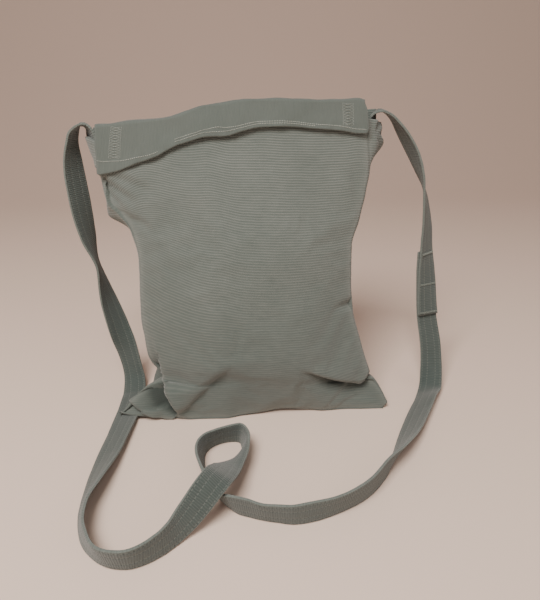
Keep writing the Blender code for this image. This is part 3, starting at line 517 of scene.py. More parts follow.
def ribbed_cloth(name, dark, light, faded, rib_pitch, rib_shade, relief_depth, faint_below=None,
                 stitched=False):
    """Ribbed canvas: ribs along the cloth's width, slubs along them, uneven dye, worn seams, and
    painted shade in the folds' hollows; stitched, it gets rows of stitches and a painted highlight
    along its folded edges.
    """
    material, shader, wire = finish(
        name, {"Sheen Weight": 0.25, "Sheen Roughness": 0.6, "Specular IOR Level": 0.2})
    weave = wire.node("UVMap", uv_map="weave")
    u, v = (wire.node("SeparateXYZ", {0: weave}, output=axis) for axis in (0, 1))
    place = wire.node("TexCoord", output=3)
    rib_line = v + mottle(wire, place, 22.0, 2.0) * 0.003
    wave = wire.math("SINE", rib_line * (2 * math.pi / rib_pitch)) * 0.5 + 0.5
    rib = wave * wave
    if faint_below:
        height = wire.node("SeparateXYZ", {0: place}, output=2)
        rib = rib * ((height / faint_below).clamped() * 0.75 + 0.25)
    stretched = wire.node("CombineXYZ", {0: u * 60, 1: rib_line * (1 / rib_pitch), 2: 0.0})
    slub = mottle(wire, stretched, 1.0, 3.0, 0.65)
    thread = mottle(wire, weave, 1400.0, 1.0)
    dye = mottle(wire, place, 13.0, 4.0, 0.6)
    seam, painted_shade = (wire.node("Attribute", output=2, attribute_name=name)
                    for name in ("near_seam", "painted_fold_shade"))
    tone = (rib * rib_shade * (dye * 1.4 + 0.3) + slub * 0.5 + thread * 0.2 + dye * 0.35
            - (0.4 * rib_shade + 0.525))
    colour = mixed(wire, (tone * 0.9 + 0.5).clamped(), dark, light)
    colour = mixed(wire, (seam * 0.35 * (slub + 0.3)).clamped(), colour, faded)
    colour = mixed(wire, ((seam - 0.8) * 3).clamped(), colour, dark)
    # painted shade: the folds' hollows are darkened towards a deeper copy of the dark tone
    colour = mixed(wire, (painted_shade * 0.8).clamped(), colour, tuple(value * 0.45 for value in dark))
    relief = rib * 0.55 + slub * 0.35 + thread * 0.25
    if stitched:
        across = wire.math("ABSOLUTE", u)
        dash = wire.math("GREATER_THAN", wire.math("SINE", v * (2 * math.pi / STITCH_PITCH)), -0.5)
        for row in STITCH_ROWS:
            gap = (across - row) / STITCH_SPREAD
            line = wire.math("EXPONENT", gap * gap * -1)
            colour = mixed(wire, line * 0.55, colour, dark)
            colour = mixed(wire, line * dash * 0.42, colour, faded)
            relief = relief + line * dash * 0.5 - line * 0.6
        # painted highlight: the strap's folded edges are paled towards the faded tone
        edge = ((across - RIM_HIGHLIGHT_EDGE) * 900).clamped()
        colour = mixed(wire, edge * (slub * 0.6 + 0.2), colour, faded)
    feed(wire, shader, colour, tone * -0.06 + 0.93, relief, relief_depth)
    return material


canvas = ribbed_cloth("ribbed canvas", dark=(0.064, 0.086, 0.078), light=(0.182, 0.200, 0.186),
                      faded=(0.25, 0.27, 0.25), rib_pitch=0.0026, rib_shade=0.64, relief_depth=0.00042,
                      faint_below=0.3)
pouch.data.materials.append(canvas)
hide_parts("front_panel", "back_panel", "left_gusset", "right_gusset", "bottom_gusset")
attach(pouch, "pouch")


# Hems of the mouth. The canvas is turned down inside the mouth's front edge and inside the tops
# of the side gussets, and sewn there.
MOUTH_HEM = 0.014
HEM_GAP = 0.0004
HEM_END = 3  # columns of the cloth that each hem stops short of a seam
inward = normals_of(places, quads)


def thick_strip(strip, thickness):
    """Gives a strip of cloth its thickness, with its cut edges a little rounded."""
    applied(strip, "SOLIDIFY", thickness=thickness, offset=-1)
    applied(strip, "BEVEL", width=thickness / 4, segments=2, limit_method="ANGLE")


def turned_hem(name, table, uv, node):
    hem_points = places[table] - inward[table] * (CANVAS + HEM_GAP)
    index = np.arange(table.size).reshape(table.shape)
    hem = cloth_mesh(name, hem_points.reshape(-1, 3), quad_corners(index), quad_corners(uv))
    thick_strip(hem, CANVAS)
    hem.data.materials.append(canvas)
    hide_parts(node)
    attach(hem, "pouch")


hem_rows = np.flatnonzero(all_levels > 1 - MOUTH_HEM / FRONT_HEIGHT)
turned_hem("front_mouth_hem_canvas", front_grid[hem_rows][:, HEM_END:-HEM_END],
           front_map[hem_rows][:, HEM_END:-HEM_END], "front_mouth_hem")
hem_rows = np.flatnonzero(low_levels > GUSSET_TOP_LEVEL - MOUTH_HEM / FRONT_HEIGHT)
for side, first, last in (("left", left_back, loop), ("right", right_front, right_back)):
    hem_columns = np.arange(first + HEM_END, last + 1 - HEM_END)
    turned_hem(side + "_gusset_hem_canvas", looped[hem_rows][:, hem_columns],
               cloth_map(hem_columns * CLOTH_GRID, gusset_up[hem_rows]), side + "_gusset_hem")


# Strap. A strip of ribbed canvas folded double, 27 mm wide, with rows of stitches along it. It is
# made of two lengths, sewn together where they overlap on the right-hand run, and its ends are
# sewn inside the tops of the side gussets. It lies in loops on what the pouch stands on.
STRAP_WIDTH = 0.027
STRAP_THICKNESS = 0.003
STRAP_STEP = 0.0032
STITCH_ROWS = (0.0112, 0.0049)  # from the middle of the strap, on both sides of it
STITCH_PITCH, STITCH_SPREAD = 0.0034, 0.0005
RIM_HIGHLIGHT_EDGE = 0.0122  # beyond here a painted highlight turns the folded edge pale
SPLICE_LENGTH = 0.082
SPLICE_GAP = 0.0003
SPLICE_TOP = (0.2110, 0.0350, 0.168)
LEAST_HEIGHT = 0.0001
# the strap's way from the left gusset to the right: places of its middle in mm, and the way
# across the strap there
STRAP_ROUTE = (
    (-156.6, 29, 268, 0.26, -0.96, 0), (-162, 31.5, 285, 0.34, -0.94, 0),
    (-169, 32, 299, 0.5, -0.86, 0), (-171.5, 33, 308, 0.5, -0.87, 0),
    (-176, 34, 314.5, 0.36, -0.93, 0), (-182, 34.5, 315, 0.12, -0.99, 0),
    (-187.3, 34.5, 309.5, -0.1, -1, 0), (-191.5, 35, 297.5, -0.2, -0.97, 0.05),
    (-193.5, 35, 277, -0.5, -0.86, 0.1), (-192, 35.5, 240, -0.68, -0.73, 0.1),
    (-188.5, 39, 195, -0.45, -0.88, 0.15), (-182.5, 42.5, 157, 0.1, -0.97, 0.2),
    (-177, 43, 122, -0.36, -0.93, 0.1), (-166, 41, 76, -0.85, -0.53, 0),
    (-155.5, 36, 36, -0.96, 0.28, 0), (-150, 26, 11, -0.95, 0.25, -0.05),
    (-148, 5, 2, -0.99, 0.02, -0.03), (-148, -30, 2, -0.99, 0, -0.05),
    (-150, -68, 4, -0.97, 0.05, -0.24), (-154.5, -120, 6, -0.92, 0.04, -0.38),
    (-158, -164, 10, -0.72, -0.02, -0.69), (-159, -206, 13, -0.34, -0.06, -0.94),
    (-149, -238, 14, -0.04, 0, -1), (-132, -257, 14, 0.12, 0.23, -0.97),
    (-112, -261, 14, -0.02, 0.27, -0.96), (-91, -250, 14, -0.03, 0.04, -1),
    (-72, -230, 17, 0.2, -0.17, -0.96), (-60.1, -220.3, 26.5, 0.4, -0.26, -0.87),
    (-49.2, -211, 36.5, 0.6, -0.36, -0.7), (-41.9, -200, 38.5, 0.76, -0.45, -0.46),
    (-36.5, -184.5, 32, 0.8, -0.52, -0.2), (-30, -160, 20.5, 0.74, -0.52, 0.28),
    (-20.5, -137, 14, 0.55, -0.34, 0.78), (-15, -115, 13.4, 0.22, -0.02, 0.97),
    (-20, -103, 13.5, 0.1, -0.14, 0.99), (-36, -103.5, 13.3, 0.08, -0.28, 0.95),
    (-49, -110, 13.2, 0.16, -0.2, 0.96), (-57.5, -119.5, 13.4, -0.02, -0.08, 1),
    (-60.5, -131, 13.3, -0.22, 0, 0.97), (-60, -145, 13.3, -0.28, -0.02, 0.96),
    (-56.5, -161, 13.3, -0.25, -0.08, 0.96), (-51, -176, 13.2, -0.25, -0.15, 0.95),
    (-44, -189, 12.4, -0.33, -0.3, 0.89), (-37, -199.5, 12.2, -0.32, -0.38, 0.87),
    (-26, -207.2, 13, -0.15, -0.25, 0.96), (-14, -212.5, 13.2, -0.12, -0.24, 0.96),
    (-2.6, -217.8, 13.4, -0.12, -0.3, 0.95), (9.1, -220.6, 13.6, -0.07, -0.27, 0.96),
    (21.8, -223, 13.8, -0.02, -0.22, 0.97), (37.1, -221.3, 13.8, 0.01, -0.17, 0.98),
    (61, -215, 14, 0.08, -0.23, 0.97), (92, -198, 14, 0.1, -0.13, 0.98),
    (120, -169, 14, 0.12, -0.06, 0.99), (141, -141, 12, 0.5, -0.19, 0.84),
    (160, -110, 9, 0.72, -0.37, 0.59), (186, -66, 6, 0.8, -0.42, 0.42),
    (206, -33, 6, 0.78, -0.46, 0.42), (217, -13, 8, 0.93, -0.36, 0.1), (221, 1, 26, 0.98, -0.1, 0),
    (221, 11, 54, 0.98, 0.05, -0.05), (217, 21, 88, 0.97, 0.2, -0.08),
    (214, 30, 130, 0.92, 0.38, -0.1), (211, 35, 168, 0.75, 0.64, -0.12),
    (208, 37, 205, 0.6, 0.78, -0.15), (202, 37, 236, 0.38, 0.9, -0.15),
    (193, 36, 262, 0.02, 0.98, -0.18), (180, 36, 288, -0.25, 0.96, -0.12),
    (169, 35.5, 305, -0.2, 0.97, -0.05), (159.5, 35, 317.5, -0.05, 1, 0), (151, 35, 325, 0.05, 1, 0),
    (143, 35, 328, 0.15, 0.98, 0), (135.8, 35.2, 325, 0.28, 0.96, 0),
    (131.8, 35.2, 317, 0.42, 0.91, 0), (129.2, 33, 302, 0.38, 0.92, 0), (127.5, 30, 286, 0.33, 0.94, 0))
# how the strap puckers at its edges, ripples along itself and strays sideways: how far, and how long
PUCKERS, PUCKER_LENGTH = 0.00022, 0.0065
RIPPLES, RIPPLE_LENGTH = 0.00045, 0.028
STRAYING, STRAY_LENGTH = 0.0003, 0.02
STRAP_FULLNESS = (0.985, 0.96)  # its width and thickness before that, as shares
# half of the strap's section, from the middle of its edge's notch over its face: shares of half
# its width and of half its thickness, with a dip at each row of stitches
STRAP_FACE = ((0.965, 0), (1, 0.26), (0.995, 0.6), (0.945, 0.92), (0.88, 1), (0.83, 0.86), (0.78, 0.98),
              (0.6, 1.02), (0.42, 1), (0.36, 0.9), (0.3, 1), (0.12, 1.02), (-0.12, 1.02), (-0.3, 1),
              (-0.36, 0.9), (-0.42, 1), (-0.6, 1.02), (-0.78, 0.98), (-0.83, 0.86), (-0.88, 1),
              (-0.945, 0.92), (-0.995, 0.6), (-1, 0.26), (-0.965, 0))

stations = np.array(STRAP_ROUTE) / (1000, 1000, 1000, 1, 1, 1)
stations[:, 3:] /= np.linalg.norm(stations[:, 3:], axis=1)[:, None]
chords = np.concatenate([[0], np.cumsum(np.linalg.norm(np.diff(stations[:, :3], axis=0), axis=1))])
slopes = np.gradient(stations, chords, axis=0)
at = np.linspace(0, chords[-1], round(chords[-1] / STRAP_STEP) + 1)
route = curve(chords, stations, slopes, at)
strap_middle, strap_edge = route[:, :3], route[:, 3:]


def units(vectors):
    return vectors / np.linalg.norm(vectors, axis=1)[:, None]


strap_along = units(np.gradient(strap_middle, axis=0))
strap_across = units(strap_edge - (strap_edge * strap_along).sum(1)[:, None] * strap_along)
strap_face = np.cross(strap_along, strap_across)
reach = abs(strap_across[:, 2]) * STRAP_WIDTH / 2 + abs(strap_face[:, 2]) * STRAP_THICKNESS / 2
strap_middle[:, 2] = np.maximum(strap_middle[:, 2], reach)
travelled = np.concatenate([[0], np.cumsum(np.linalg.norm(np.diff(strap_middle, axis=0), axis=1))])
splice_top = int(np.linalg.norm(strap_middle - SPLICE_TOP, axis=1).argmin())
splice_low = int(np.searchsorted(travelled, travelled[splice_top] - SPLICE_LENGTH))
ease = smooth(0, 1, (travelled - travelled[splice_low]) / SPLICE_LENGTH + 1)
long_middle = strap_middle + strap_face * (ease * (STRAP_THICKNESS + SPLICE_GAP))[:, None]


def closed(mesh):
    """Closes a mesh's open ends and turns all its faces outwards."""
    shape = bmesh.new()
    shape.from_mesh(mesh)
    bmesh.ops.holes_fill(shape, edges=[e for e in shape.edges if e.is_boundary])
    bmesh.ops.recalc_face_normals(shape, faces=shape.faces)
    shape.to_mesh(mesh)
    shape.free()


def strap_length(name, middle, first, last):
    """A stretch of the strap, closed at both ends, with its cloth's own map along it."""
    section = np.array(STRAP_FACE)
    section = np.concatenate([section, (section * (1, -1))[-2:0:-1]])
    ring_size, count = len(section), last - first
    mesh_points = []
    for i in range(first, last):
        s = travelled[i]
        for w, f in section:
            edge = abs(w) ** 3
            pucker = PUCKERS * noise.noise(Vector((s / PUCKER_LENGTH, 3 * w, f))) * edge
            ripple = RIPPLES * noise.noise(Vector((s / RIPPLE_LENGTH, 0.8 * w, 7.7)))
            stray = STRAYING * noise.noise(Vector((s / STRAY_LENGTH, w, 3.1)))
            mesh_points.append(
                middle[i] + strap_across[i] * (w * STRAP_WIDTH / 2 * STRAP_FULLNESS[0] + stray * edge)
                + strap_face[i] * (f * STRAP_THICKNESS / 2 * STRAP_FULLNESS[1] + pucker + ripple))
    points = np.array(mesh_points)
    points[:, 2] = np.maximum(points[:, 2], LEAST_HEIGHT)
    index = np.arange(count * ring_size).reshape(count, ring_size)
    faces = quad_corners(np.concatenate([index, index[:, :1]], axis=1))
    across = np.append(section[:, 0], section[0, 0]) * STRAP_WIDTH / 2
    uv = quad_corners(cloth_map(across, travelled[first:last]))
    piece = cloth_mesh(name, points, faces, uv)
    closed(piece.data)
    return piece


strap_canvas = ribbed_cloth("strap canvas", dark=(0.030, 0.046, 0.043), light=(0.094, 0.117, 0.110),
                            faded=(0.22, 0.25, 0.23), rib_pitch=0.0021, rib_shade=0.4,
                            relief_depth=0.00045, stitched=True)
long_strap = strap_length("strap_long_canvas", long_middle, 0, splice_top + 1)
short_strap = strap_length("strap_short_canvas", strap_middle, splice_low, len(strap_middle))

# Its thread is a little thicker than the yarn of the canvas. Three rows of crossed stitches hold
# the two lengths together, and a box with a diagonal holds each end.
THREAD = 0.0006
SPLICE_THREAD = 0.00045
SPLICE_STITCHES, SPLICE_INSET, SPLICE_SHARE = 12, 0.0015, 0.92
SPLICE_LEAN = 0.4  # how far a row's stitches lean along the strap
TAIL_LENGTH = 0.030
TAIL_BOX, BOX_SHARE = 0.017, 0.75
STRAP_STANDOFF = 0.0005
# a stitch from end to end: where along it, how far off the cloth, and how thick, as shares
STITCH_SHAPE = ((0, -0.4, 0.6), (0.14, 0.3, 1), (0.5, 0.5, 1.1), (0.86, 0.3, 1), (1, -0.4, 0.6))
STITCH_SIDES = 6


def thread_stitches(name, stitches, finish_used, thick_as=THREAD):
    """Stitches of thread lying on the cloth; each is its two ends and the way out of the cloth."""
    points, faces = [], []
    for start, end, out in stitches:
        along = end - start
        side = np.cross(out, along)
        side = side / np.linalg.norm(side)
        first = len(points)
        for share, lift, thick in STITCH_SHAPE:
            centre, radius = start + along * share + out * lift * thick_as, thick_as / 2 * thick
            for angle in (2 * math.pi / STITCH_SIDES * k for k in range(STITCH_SIDES)):
                points.append(centre + (side * math.cos(angle) + out * math.sin(angle)) * radius)
        rings = np.arange(first, len(points)).reshape(-1, STITCH_SIDES)
        faces += quad_corners(np.concatenate([rings, rings[:, :1]], axis=1)).tolist()
        faces += [rings[0].tolist(), rings[-1][::-1].tolist()]
    mesh = bpy.data.meshes.new(name)
    mesh.from_pydata([tuple(p) for p in points], [], faces)
    closed(mesh)
    mesh.shade_smooth()
    mesh.materials.append(finish_used)
    piece = put_in(name, mesh)
    return piece


def stepped(path, pitch):
    """Even steps along a run of points, as an array."""
    lengths = np.concatenate([[0], np.cumsum(np.linalg.norm(np.diff(path, axis=0), axis=1))])
    at = np.linspace(0, lengths[-1], max(2, round(lengths[-1] / pitch) + 1))
    return np.stack([np.interp(at, lengths, path[:, k]) for k in range(path.shape[1])], -1)


def thread_finish(name, pale, deep):
    material, shader, wire = finish(name, {"Sheen Weight": 0.2, "Specular IOR Level": 0.3})
    place = wire.node("TexCoord", output=3)
    ply, age = mottle(wire, place, 2600.0, 1.0), mottle(wire, place, 60.0, 2.0)
    feed(wire, shader, mixed(wire, ply * 0.5 + age * 0.5, deep, pale), age * 0.2 + 0.6, ply, 0.0002)
    return material


def stitches_along(marks, outs, share):
    """A stitch from each mark over a share of the way to the next."""
    return [(a, a + (b - a) * share, out) for a, b, out in zip(marks[:-1], marks[1:], outs)]


pale_thread = thread_finish("pale sewing thread", (0.50, 0.53, 0.48), (0.32, 0.35, 0.32))
splice_thread = thread_finish("grey sewing thread", (0.30, 0.34, 0.31), (0.18, 0.21, 0.19))
splice_rows = (splice_low + 1, (splice_low + splice_top) // 2, splice_top - 1)
for row, place in zip(splice_rows, ("low", "middle", "top")):
    stitches = []
    for lean in (-SPLICE_LEAN, SPLICE_LEAN):
        ways = [strap_middle[row] - strap_face[row] * (STRAP_THICKNESS / 2 + STRAP_STANDOFF)
                + strap_across[row] * (STRAP_WIDTH / 2 - SPLICE_INSET) * share
                + strap_along[row] * STRAP_STEP * (-lean if n % 2 else lean)
                for n, share in enumerate(np.linspace(-1, 1, SPLICE_STITCHES))]
        stitches += stitches_along(ways, [-strap_face[row]] * len(ways), SPLICE_SHARE)
    piece = thread_stitches("splice_thread_" + place, stitches, splice_thread, SPLICE_THREAD)
    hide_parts("splice_stitching_" + place)
    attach(piece, "pouch")
tail_row = round(TAIL_LENGTH / STRAP_STEP)
for side, middle, across, face in (("left", strap_middle, strap_across, strap_face),
                                   ("right", strap_middle[::-1], strap_across[::-1], strap_face[::-1])):
    up = (middle[tail_row] - middle[0]) / np.linalg.norm(middle[tail_row] - middle[0])
    out = face[1] * np.sign(face[1][0]) * (1 if side == "left" else -1)
    centre = (middle[0] + middle[tail_row]) / 2 + out * (STRAP_THICKNESS / 2 + STRAP_STANDOFF)
    box = np.array([centre + TAIL_BOX / 2 * (across[1] * w + up * h)
                    for w, h in ((-1, -1), (1, -1), (1, 1), (-1, 1), (-1, -1), (1, 1))])
    stitches = []
    for start, end in zip(box[:-1], box[1:]):
        marks = stepped(np.array([start, end]), STITCH_PITCH)
        stitches += stitches_along(marks, [out] * len(marks), BOX_SHARE)
    piece = thread_stitches("strap_end_thread_" + side, stitches, pale_thread)
    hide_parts("strap_stitching_" + side)
    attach(piece, "pouch")
for piece, node, middle in ((long_strap, "strap_long", long_middle[:splice_top + 1]),
                            (short_strap, "strap_short", strap_middle[splice_low:])):
    piece.data.materials.append(strap_canvas)
    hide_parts(node)
    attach(piece, "pouch")
    start = middle[0] if piece is long_strap else middle[-1]


# Flap. A doubled sheet of the same canvas, sewn along the back of the mouth. It lies over the
# mouth and hangs a hand's width or less down the front, with its free edge turned and stitched.
FLAP_RISE, FLAP_STANDOFF = 0.0018, 0.004  # how far above the mouth's edge and before the front it is
FLAP_CLOTH = 0.0012
SEAM_GAP = 0.0003
HEM_TURN, HEM_TURN_ROWS = 0.00145, 8  # how round the turned edge is
HEM_DEPTH, HEM_ROWS = 0.0095, 5
FLAP_DROP = 0.0495  # how far it hangs at most, and the shares of that for the places across the mouth
FALL_SHARES = (0.97, 0.92, 0.787, 0.696, 0.58, 0.527, 0.537, 0.586, 0.602, 0.563, 0.517, 0.497, 0.525,
               0.581, 0.665, 0.649)
ARCH_STRAIGHT, ARCH_STEEP = 0.35, 0.65  # how evenly it runs forwards over the mouth, and how late
FLAP_SPAN = POUCH_WIDTH * 0.9  # about how wide it hangs
FREE_SPREAD, SPREAD_ENDS = 0.0038, 0.2  # how far the free edge's left end stands out, and how far in
CORNER_ROUNDS = (0.0015, 0.004)  # how round the flap's free corners are, left and right
# how far the fold is drawn in and down at its right end, from where across, and how far along rows
FOLD_CORNER, FOLD_CORNER_START, FOLD_CORNER_REACH = (0.002, 0.0008), 0.975, 0.22
PUCKER, PUCKER_SIZE, PUCKER_ROWS, PUCKER_LEAST = 0.0009, 0.0065, (1.55, 1.85), 0.15
WAVE, WAVE_SIZE, WAVE_ROWS = 0.0016, 0.028, (0.1, 0.5)
OVER_ROWS, HANGING_ROWS, FLAP_GRID = 25, 20, 0.0026


def flap_inside(across, row):
    """Inside of the flap; row is 0 at the hinge, 1 at the front fold, 2 at the free edge."""
    fold = front_place(across, 1 + 0 * across) + (0, -FLAP_STANDOFF, FLAP_RISE)
    left, right = (back_place(np.array(end), np.array(1.0))[0] for end in (0.0, 1.0))
    hinge = back_place((fold[..., 0] - left) / (right - left), 1 + 0 * across) + (0, 0, SEAM_GAP)
    over = np.stack([row, ARCH_STRAIGHT * row + ARCH_STEEP * row * row, np.sin(math.pi * row / 2)], -1)
    on_top = hinge + (fold - hinge) * over
    fall = FLAP_DROP * eased(FALL_SHARES, MOUTH_PLACES, across)
    for size, far in zip(CORNER_ROUNDS, (across * FLAP_SPAN, (1 - across) * FLAP_SPAN)):
        short = np.clip(size - far, 0, size)
        fall = fall - size + np.sqrt(size ** 2 - short ** 2)
    height = fold[..., 2] - fall * (row - 1)
    mouth = FRONT_HEIGHT * eased(MOUTH_HEIGHTS, MOUTH_PLACES, across)
    hanging = front_place(across, np.minimum(height / mouth, 1))
    hanging = np.stack([hanging[..., 0], hanging[..., 1] - FLAP_STANDOFF, height], -1)
    near_end = smooth(FOLD_CORNER_START, 1, across) * np.exp(-((row - 1) / FOLD_CORNER_REACH) ** 2)
    spread = FREE_SPREAD * smooth(SPREAD_ENDS, 0, across) * np.clip(row - 1, 0, 1)
    drawn_in = np.stack([-FOLD_CORNER[0] * near_end - spread, 0 * near_end,
                         -FOLD_CORNER[1] * near_end], -1)
    return np.where((row <= 1)[..., None], on_top, hanging) + drawn_in


flap_columns = round(POUCH_WIDTH / FLAP_GRID)
flap_wide = np.linspace(0, 1, flap_columns + 1)
flap_rows = np.concatenate([np.linspace(0, 1, OVER_ROWS), np.linspace(1, 2, HANGING_ROWS)[1:]])
across_grid, row_grid = np.meshgrid(flap_wide, flap_rows)
flap_points = flap_inside(across_grid, row_grid)
grid_index = np.arange(flap_points[..., 0].size).reshape(flap_points.shape[:2])
flap_out = -normals_of(flap_points.reshape(-1, 3), quad_corners(grid_index)).reshape(flap_points.shape)
puckered = PUCKER * (PUCKER_LEAST + (1 - PUCKER_LEAST) * smooth(*PUCKER_ROWS, row_grid))
waved = WAVE * smooth(*WAVE_ROWS, row_grid)
flat = np.stack([across_grid * POUCH_WIDTH, row_grid * FLAP_DROP * 0.6], -1)
lumps = np.array([[noise.noise(Vector((*spot / PUCKER_SIZE, 2.6))) * pucker
                   + noise.noise(Vector((*spot / WAVE_SIZE, 9.1))) * wave
                   for spot, pucker, wave in zip(*line)] for line in zip(flat, puckered, waved)])
flap_points = flap_points + flap_out * (CANVAS + lumps)[..., None]
down = units(flap_points[-1] - flap_points[-2])
out = flap_out[-1]
turn = [flap_points[-1] + (out * (math.cos(angle) - 1) + down * math.sin(angle)) * HEM_TURN
        for angle in np.linspace(0, math.pi, HEM_TURN_ROWS)[1:]]
turn += [turn[-1] - down * rise for rise in np.linspace(0, HEM_DEPTH, HEM_ROWS)[1:]]
flap_sheet = np.concatenate([flap_points, np.array(turn)])
sheet_index = np.arange(flap_sheet[..., 0].size).reshape(flap_sheet.shape[:2])
sheet_run = np.concatenate([np.zeros((1, flap_columns + 1)),
                            np.cumsum(np.linalg.norm(np.diff(flap_sheet, axis=0), axis=2), axis=0)])
run_across = np.broadcast_to(flap_wide * FLAP_SPAN, sheet_run.shape)
flap = cloth_mesh("flap_canvas_sheet", flap_sheet.reshape(-1, 3), quad_corners(sheet_index)[:, ::-1],
                  quad_corners(np.stack([sheet_run, run_across], -1))[:, ::-1])
applied(flap, "SOLIDIFY", thickness=FLAP_CLOTH, offset=-1, use_even_offset=True)
flap_canvas = ribbed_cloth("flap canvas", dark=(0.064, 0.086, 0.078), light=(0.130, 0.150, 0.140),
                           faded=(0.25, 0.27, 0.25), rib_pitch=0.0015, rib_shade=0.14,
                           relief_depth=0.0003)
flap.data.materials.append(flap_canvas)
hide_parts("flap", "flap_hem")
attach(flap, "flap")


# Stitching on the flap. Pale thread runs along the turned hem, and a box of zigzag holds each
# closing tape to the flap.
HEM_STITCH, HEM_STITCH_SHARE = 0.0031, 0.72
BOX_THREAD, ZIGZAG_SHARE = 0.00045, 0.9
# where the hem's stitching runs: places across the flap, and down it as flap_inside counts
HEM_RUNS = (
    ((0.003, 1.73), (0.025, 1.76), (0.062, 1.79), (0.12, 1.87), (0.185, 1.93), (0.22, 1.93)),
    ((0.285, 1.81), (0.33, 1.8), (0.365, 1.83), (0.408, 1.79), (0.44, 1.73), (0.515, 1.83),
     (0.578, 1.83), (0.655, 1.83), (0.733, 1.85), (0.807, 1.88), (0.88, 1.88), (0.935, 1.9),
     (0.99, 1.91)),
    ((0.285, 1.9), (0.34, 1.9), (0.4, 1.9), (0.46, 1.88), (0.53, 1.92), (0.6, 1.91), (0.7, 1.92),
     (0.8, 1.94)))
# the four corners of each box of zigzag, top left, top right, bottom left, bottom right
TAPE_BOXES = (((0.06, 1.05), (0.098, 1.08), (0.045, 1.72), (0.085, 1.77)),
              ((0.91, 1.08), (0.948, 1.11), (0.902, 1.86), (0.94, 1.81)))
ZIGZAGS = (13, 9)


def on_flap(spots):
    """Places on the outside of the flap and the way out of it, for places across and down it."""
    spots = np.array(spots)
    column = spots[:, 0] * flap_columns
    row = np.interp(spots[:, 1], flap_rows, np.arange(len(flap_rows)))
    i = np.minimum(row.astype(int), len(flap_rows) - 2)
    j = np.minimum(column.astype(int), flap_columns - 1)
    down, over = (row - i)[:, None], (column - j)[:, None]
    upper, lower = ([(1 - over) * grid[k, j] + over * grid[k, j + 1]
                     for grid in (flap_points, flap_out)] for k in (i, i + 1))
    return [(1 - down) * high + down * low for high, low in zip(upper, lower)]


box_thread = thread_finish("faded sewing thread", (0.29, 0.32, 0.295), (0.19, 0.22, 0.20))
hem_stitches = []
for run in HEM_RUNS:
    fine = np.array([(a, np.interp(a, *zip(*run))) for a in np.linspace(run[0][0], run[-1][0], 400)])
    points, outs = on_flap(fine)
    marks = stepped(np.hstack([points, outs]), HEM_STITCH)
    hem_stitches += stitches_along(marks[:, :3], marks[:, 3:], HEM_STITCH_SHARE)
hem_thread = thread_stitches("flap_hem_stitching", hem_stitches, pale_thread)
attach(hem_thread, "flap")
for box, count, node in zip(TAPE_BOXES, ZIGZAGS, ("flap_stitching_left", "flap_stitching_right")):
    top_left, top_right, low_left, low_right = np.array(box)
    steps = np.linspace(0, 1, count)
    left_side = [top_left + (low_left - top_left) * share for share in steps]
    right_side = [top_right + (low_right - top_right) * share for share in steps]
    zigzag = [(right_side if k % 2 else left_side)[k] for k in range(count)]
    back_again = [(left_side if k % 2 else right_side)[k] for k in range(count)][::-1]
    stitches = []
    for run in (left_side, right_side, zigzag, back_again):
        stitches += stitches_along(*on_flap(run), ZIGZAG_SHARE)
    piece = thread_stitches(node + "_thread", stitches, box_thread, BOX_THREAD)
    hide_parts(node)
    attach(piece, "flap")


# Closing tapes. A short strip of hook tape is sewn inside the flap near each end, and a strip of
# loop tape behind it on the front panel; both are woven, with a stiff pile.
TAPE_THICKNESS = 0.0014
TAPE_WIDTH_SHARE = 0.015  # half its width, as a share of the pouch's
TAPE_SPOTS = (("left", 0.068, (1.24, 1.69)), ("right", 0.925, (1.2, 1.62)))
# each kind of tape, how far behind the flap's inside it lies, and what it is sewn to
TAPE_KINDS = (("flap_hook_tape_", 0.0001, "flap"), ("front_loop_tape_", 0.0020, "pouch"))
material, shader, wire = finish("closing tape", {"Specular IOR Level": 0.3, "Sheen Weight": 0.3})
place = wire.node("TexCoord", output=3)
pile = wire.node("TexVoronoi", {"Vector": place, "Scale": 1300.0})
fuzz = mottle(wire, place, 420.0, 3.0)
feed(wire, shader, mixed(wire, pile * 0.6 + fuzz * 0.4, (0.06, 0.075, 0.068), (0.155, 0.175, 0.155)),
     fuzz * 0.2 + 0.7, pile * -1 + fuzz, 0.0007)
for side, middle, ends in TAPE_SPOTS:
    across, row = np.meshgrid(np.linspace(middle - TAPE_WIDTH_SHARE, middle + TAPE_WIDTH_SHARE, 9),
                              np.linspace(*ends, 13))
    for kind, behind, body in TAPE_KINDS:
        strip = (flap_inside(across, row) + (0, behind, 0)).reshape(-1, 3)
        faces = quad_corners(np.arange(across.size).reshape(across.shape))[:, ::-1]
        piece = cloth_mesh(kind + side + "_woven", strip, faces,
                           quad_corners(np.stack([across, row], -1)))
        thick_strip(piece, TAPE_THICKNESS)
        piece.data.materials.append(material)
        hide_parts(kind + side)
        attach(piece, body)


# Floor and light. The pouch stands on a plain pale sweep that rises behind it in one soft bend,
# in soft light from the upper left.
FLOOR_SIZE, SWEEP_PLACE, SWEEP_HEIGHT, SWEEP_ROUND = 9, 2.6, 5, 1.5
LIT_PLACE = (0, 0, 0.12)  # both lamps point here


def pick_back_edge(piece):
    """In edit mode, selects only the edge along the floor's back, at the foot of what rises there."""
    shape = bmesh.from_edit_mesh(piece.data)
    for part in (*shape.verts, *shape.edges, *shape.faces):
        part.select = False
    for edge in shape.edges:
        if all(v.co.y > SWEEP_PLACE - 0.01 and v.co.z < 0.01 for v in edge.verts):
            edge.select_set(True)
    bmesh.update_edit_mesh(piece.data)


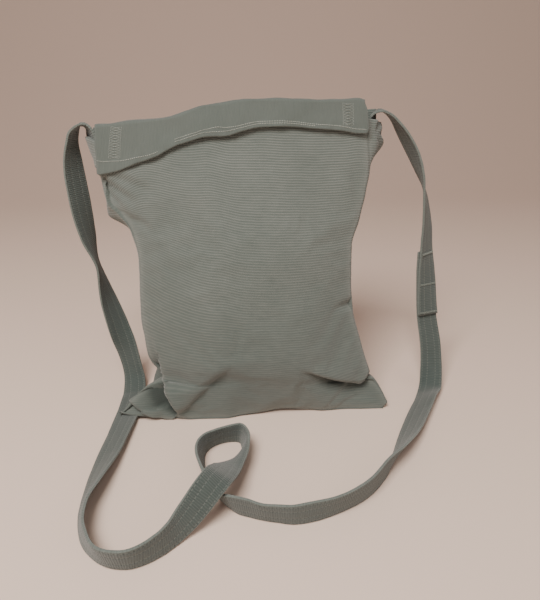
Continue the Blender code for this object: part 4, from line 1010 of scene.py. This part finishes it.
bpy.ops.object.select_all(action="DESELECT")
bpy.ops.mesh.primitive_plane_add(size=FLOOR_SIZE, location=(0, SWEEP_PLACE - FLOOR_SIZE / 2, 0))
floor = bpy.context.active_object
floor.name = "floor"
bpy.ops.object.transform_apply(location=True)
bpy.ops.object.mode_set(mode="EDIT")
bpy.ops.mesh.select_mode(type="EDGE")
pick_back_edge(floor)
bpy.ops.mesh.extrude_region_move(TRANSFORM_OT_translate={"value": (0, 0, SWEEP_HEIGHT)})
pick_back_edge(floor)
bpy.ops.mesh.bevel(offset=SWEEP_ROUND, segments=24, profile=0.5, affect="EDGES")
bpy.ops.mesh.select_all(action="SELECT")
bpy.ops.mesh.normals_make_consistent(inside=False)
bpy.ops.object.mode_set(mode="OBJECT")
floor.data.shade_smooth()
floor_finish = finish("pale floor", {"Roughness": 0.75, "Base Color": (0.80, 0.65, 0.56, 1)})[0]
floor.data.materials.append(floor_finish)
world = bpy.data.worlds.new("room light")
world.use_nodes = True
room = world.node_tree.nodes["Background"]
room.inputs["Color"].default_value, room.inputs["Strength"].default_value = (0.62, 0.51, 0.46, 1), 0.54
bpy.context.scene.world = world
for name, place, size, power, colour in (
        ("key light", (-0.42, -0.95, 1.45), 0.7, 37, (1, 0.93, 0.86)),
        ("fill light", (1.2, -1.1, 0.8), 1.2, 3, (1, 0.97, 0.95))):
    data = bpy.data.lights.new(name, "AREA")
    data.size, data.energy, data.color = size, power, colour
    lamp = put_in(name, data)
    lamp.location = place
    lamp.rotation_euler = (Vector(LIT_PLACE) - Vector(place)).to_track_quat("-Z", "Y").to_euler()


# Camera. It stands before the pouch, a little above the height of its flap, and looks down at it
# by 22 degrees.
camera_data = bpy.data.cameras.new("camera")
camera_data.lens, camera_data.sensor_width = 33.0, 36.0
camera = put_in("camera", camera_data)
camera.location = (-0.02335, -0.58874, 0.3634)
camera.rotation_euler = Vector((0.06620, 0.92350, -0.37784)).to_track_quat("-Z", "Y").to_euler()
bpy.context.scene.camera = camera
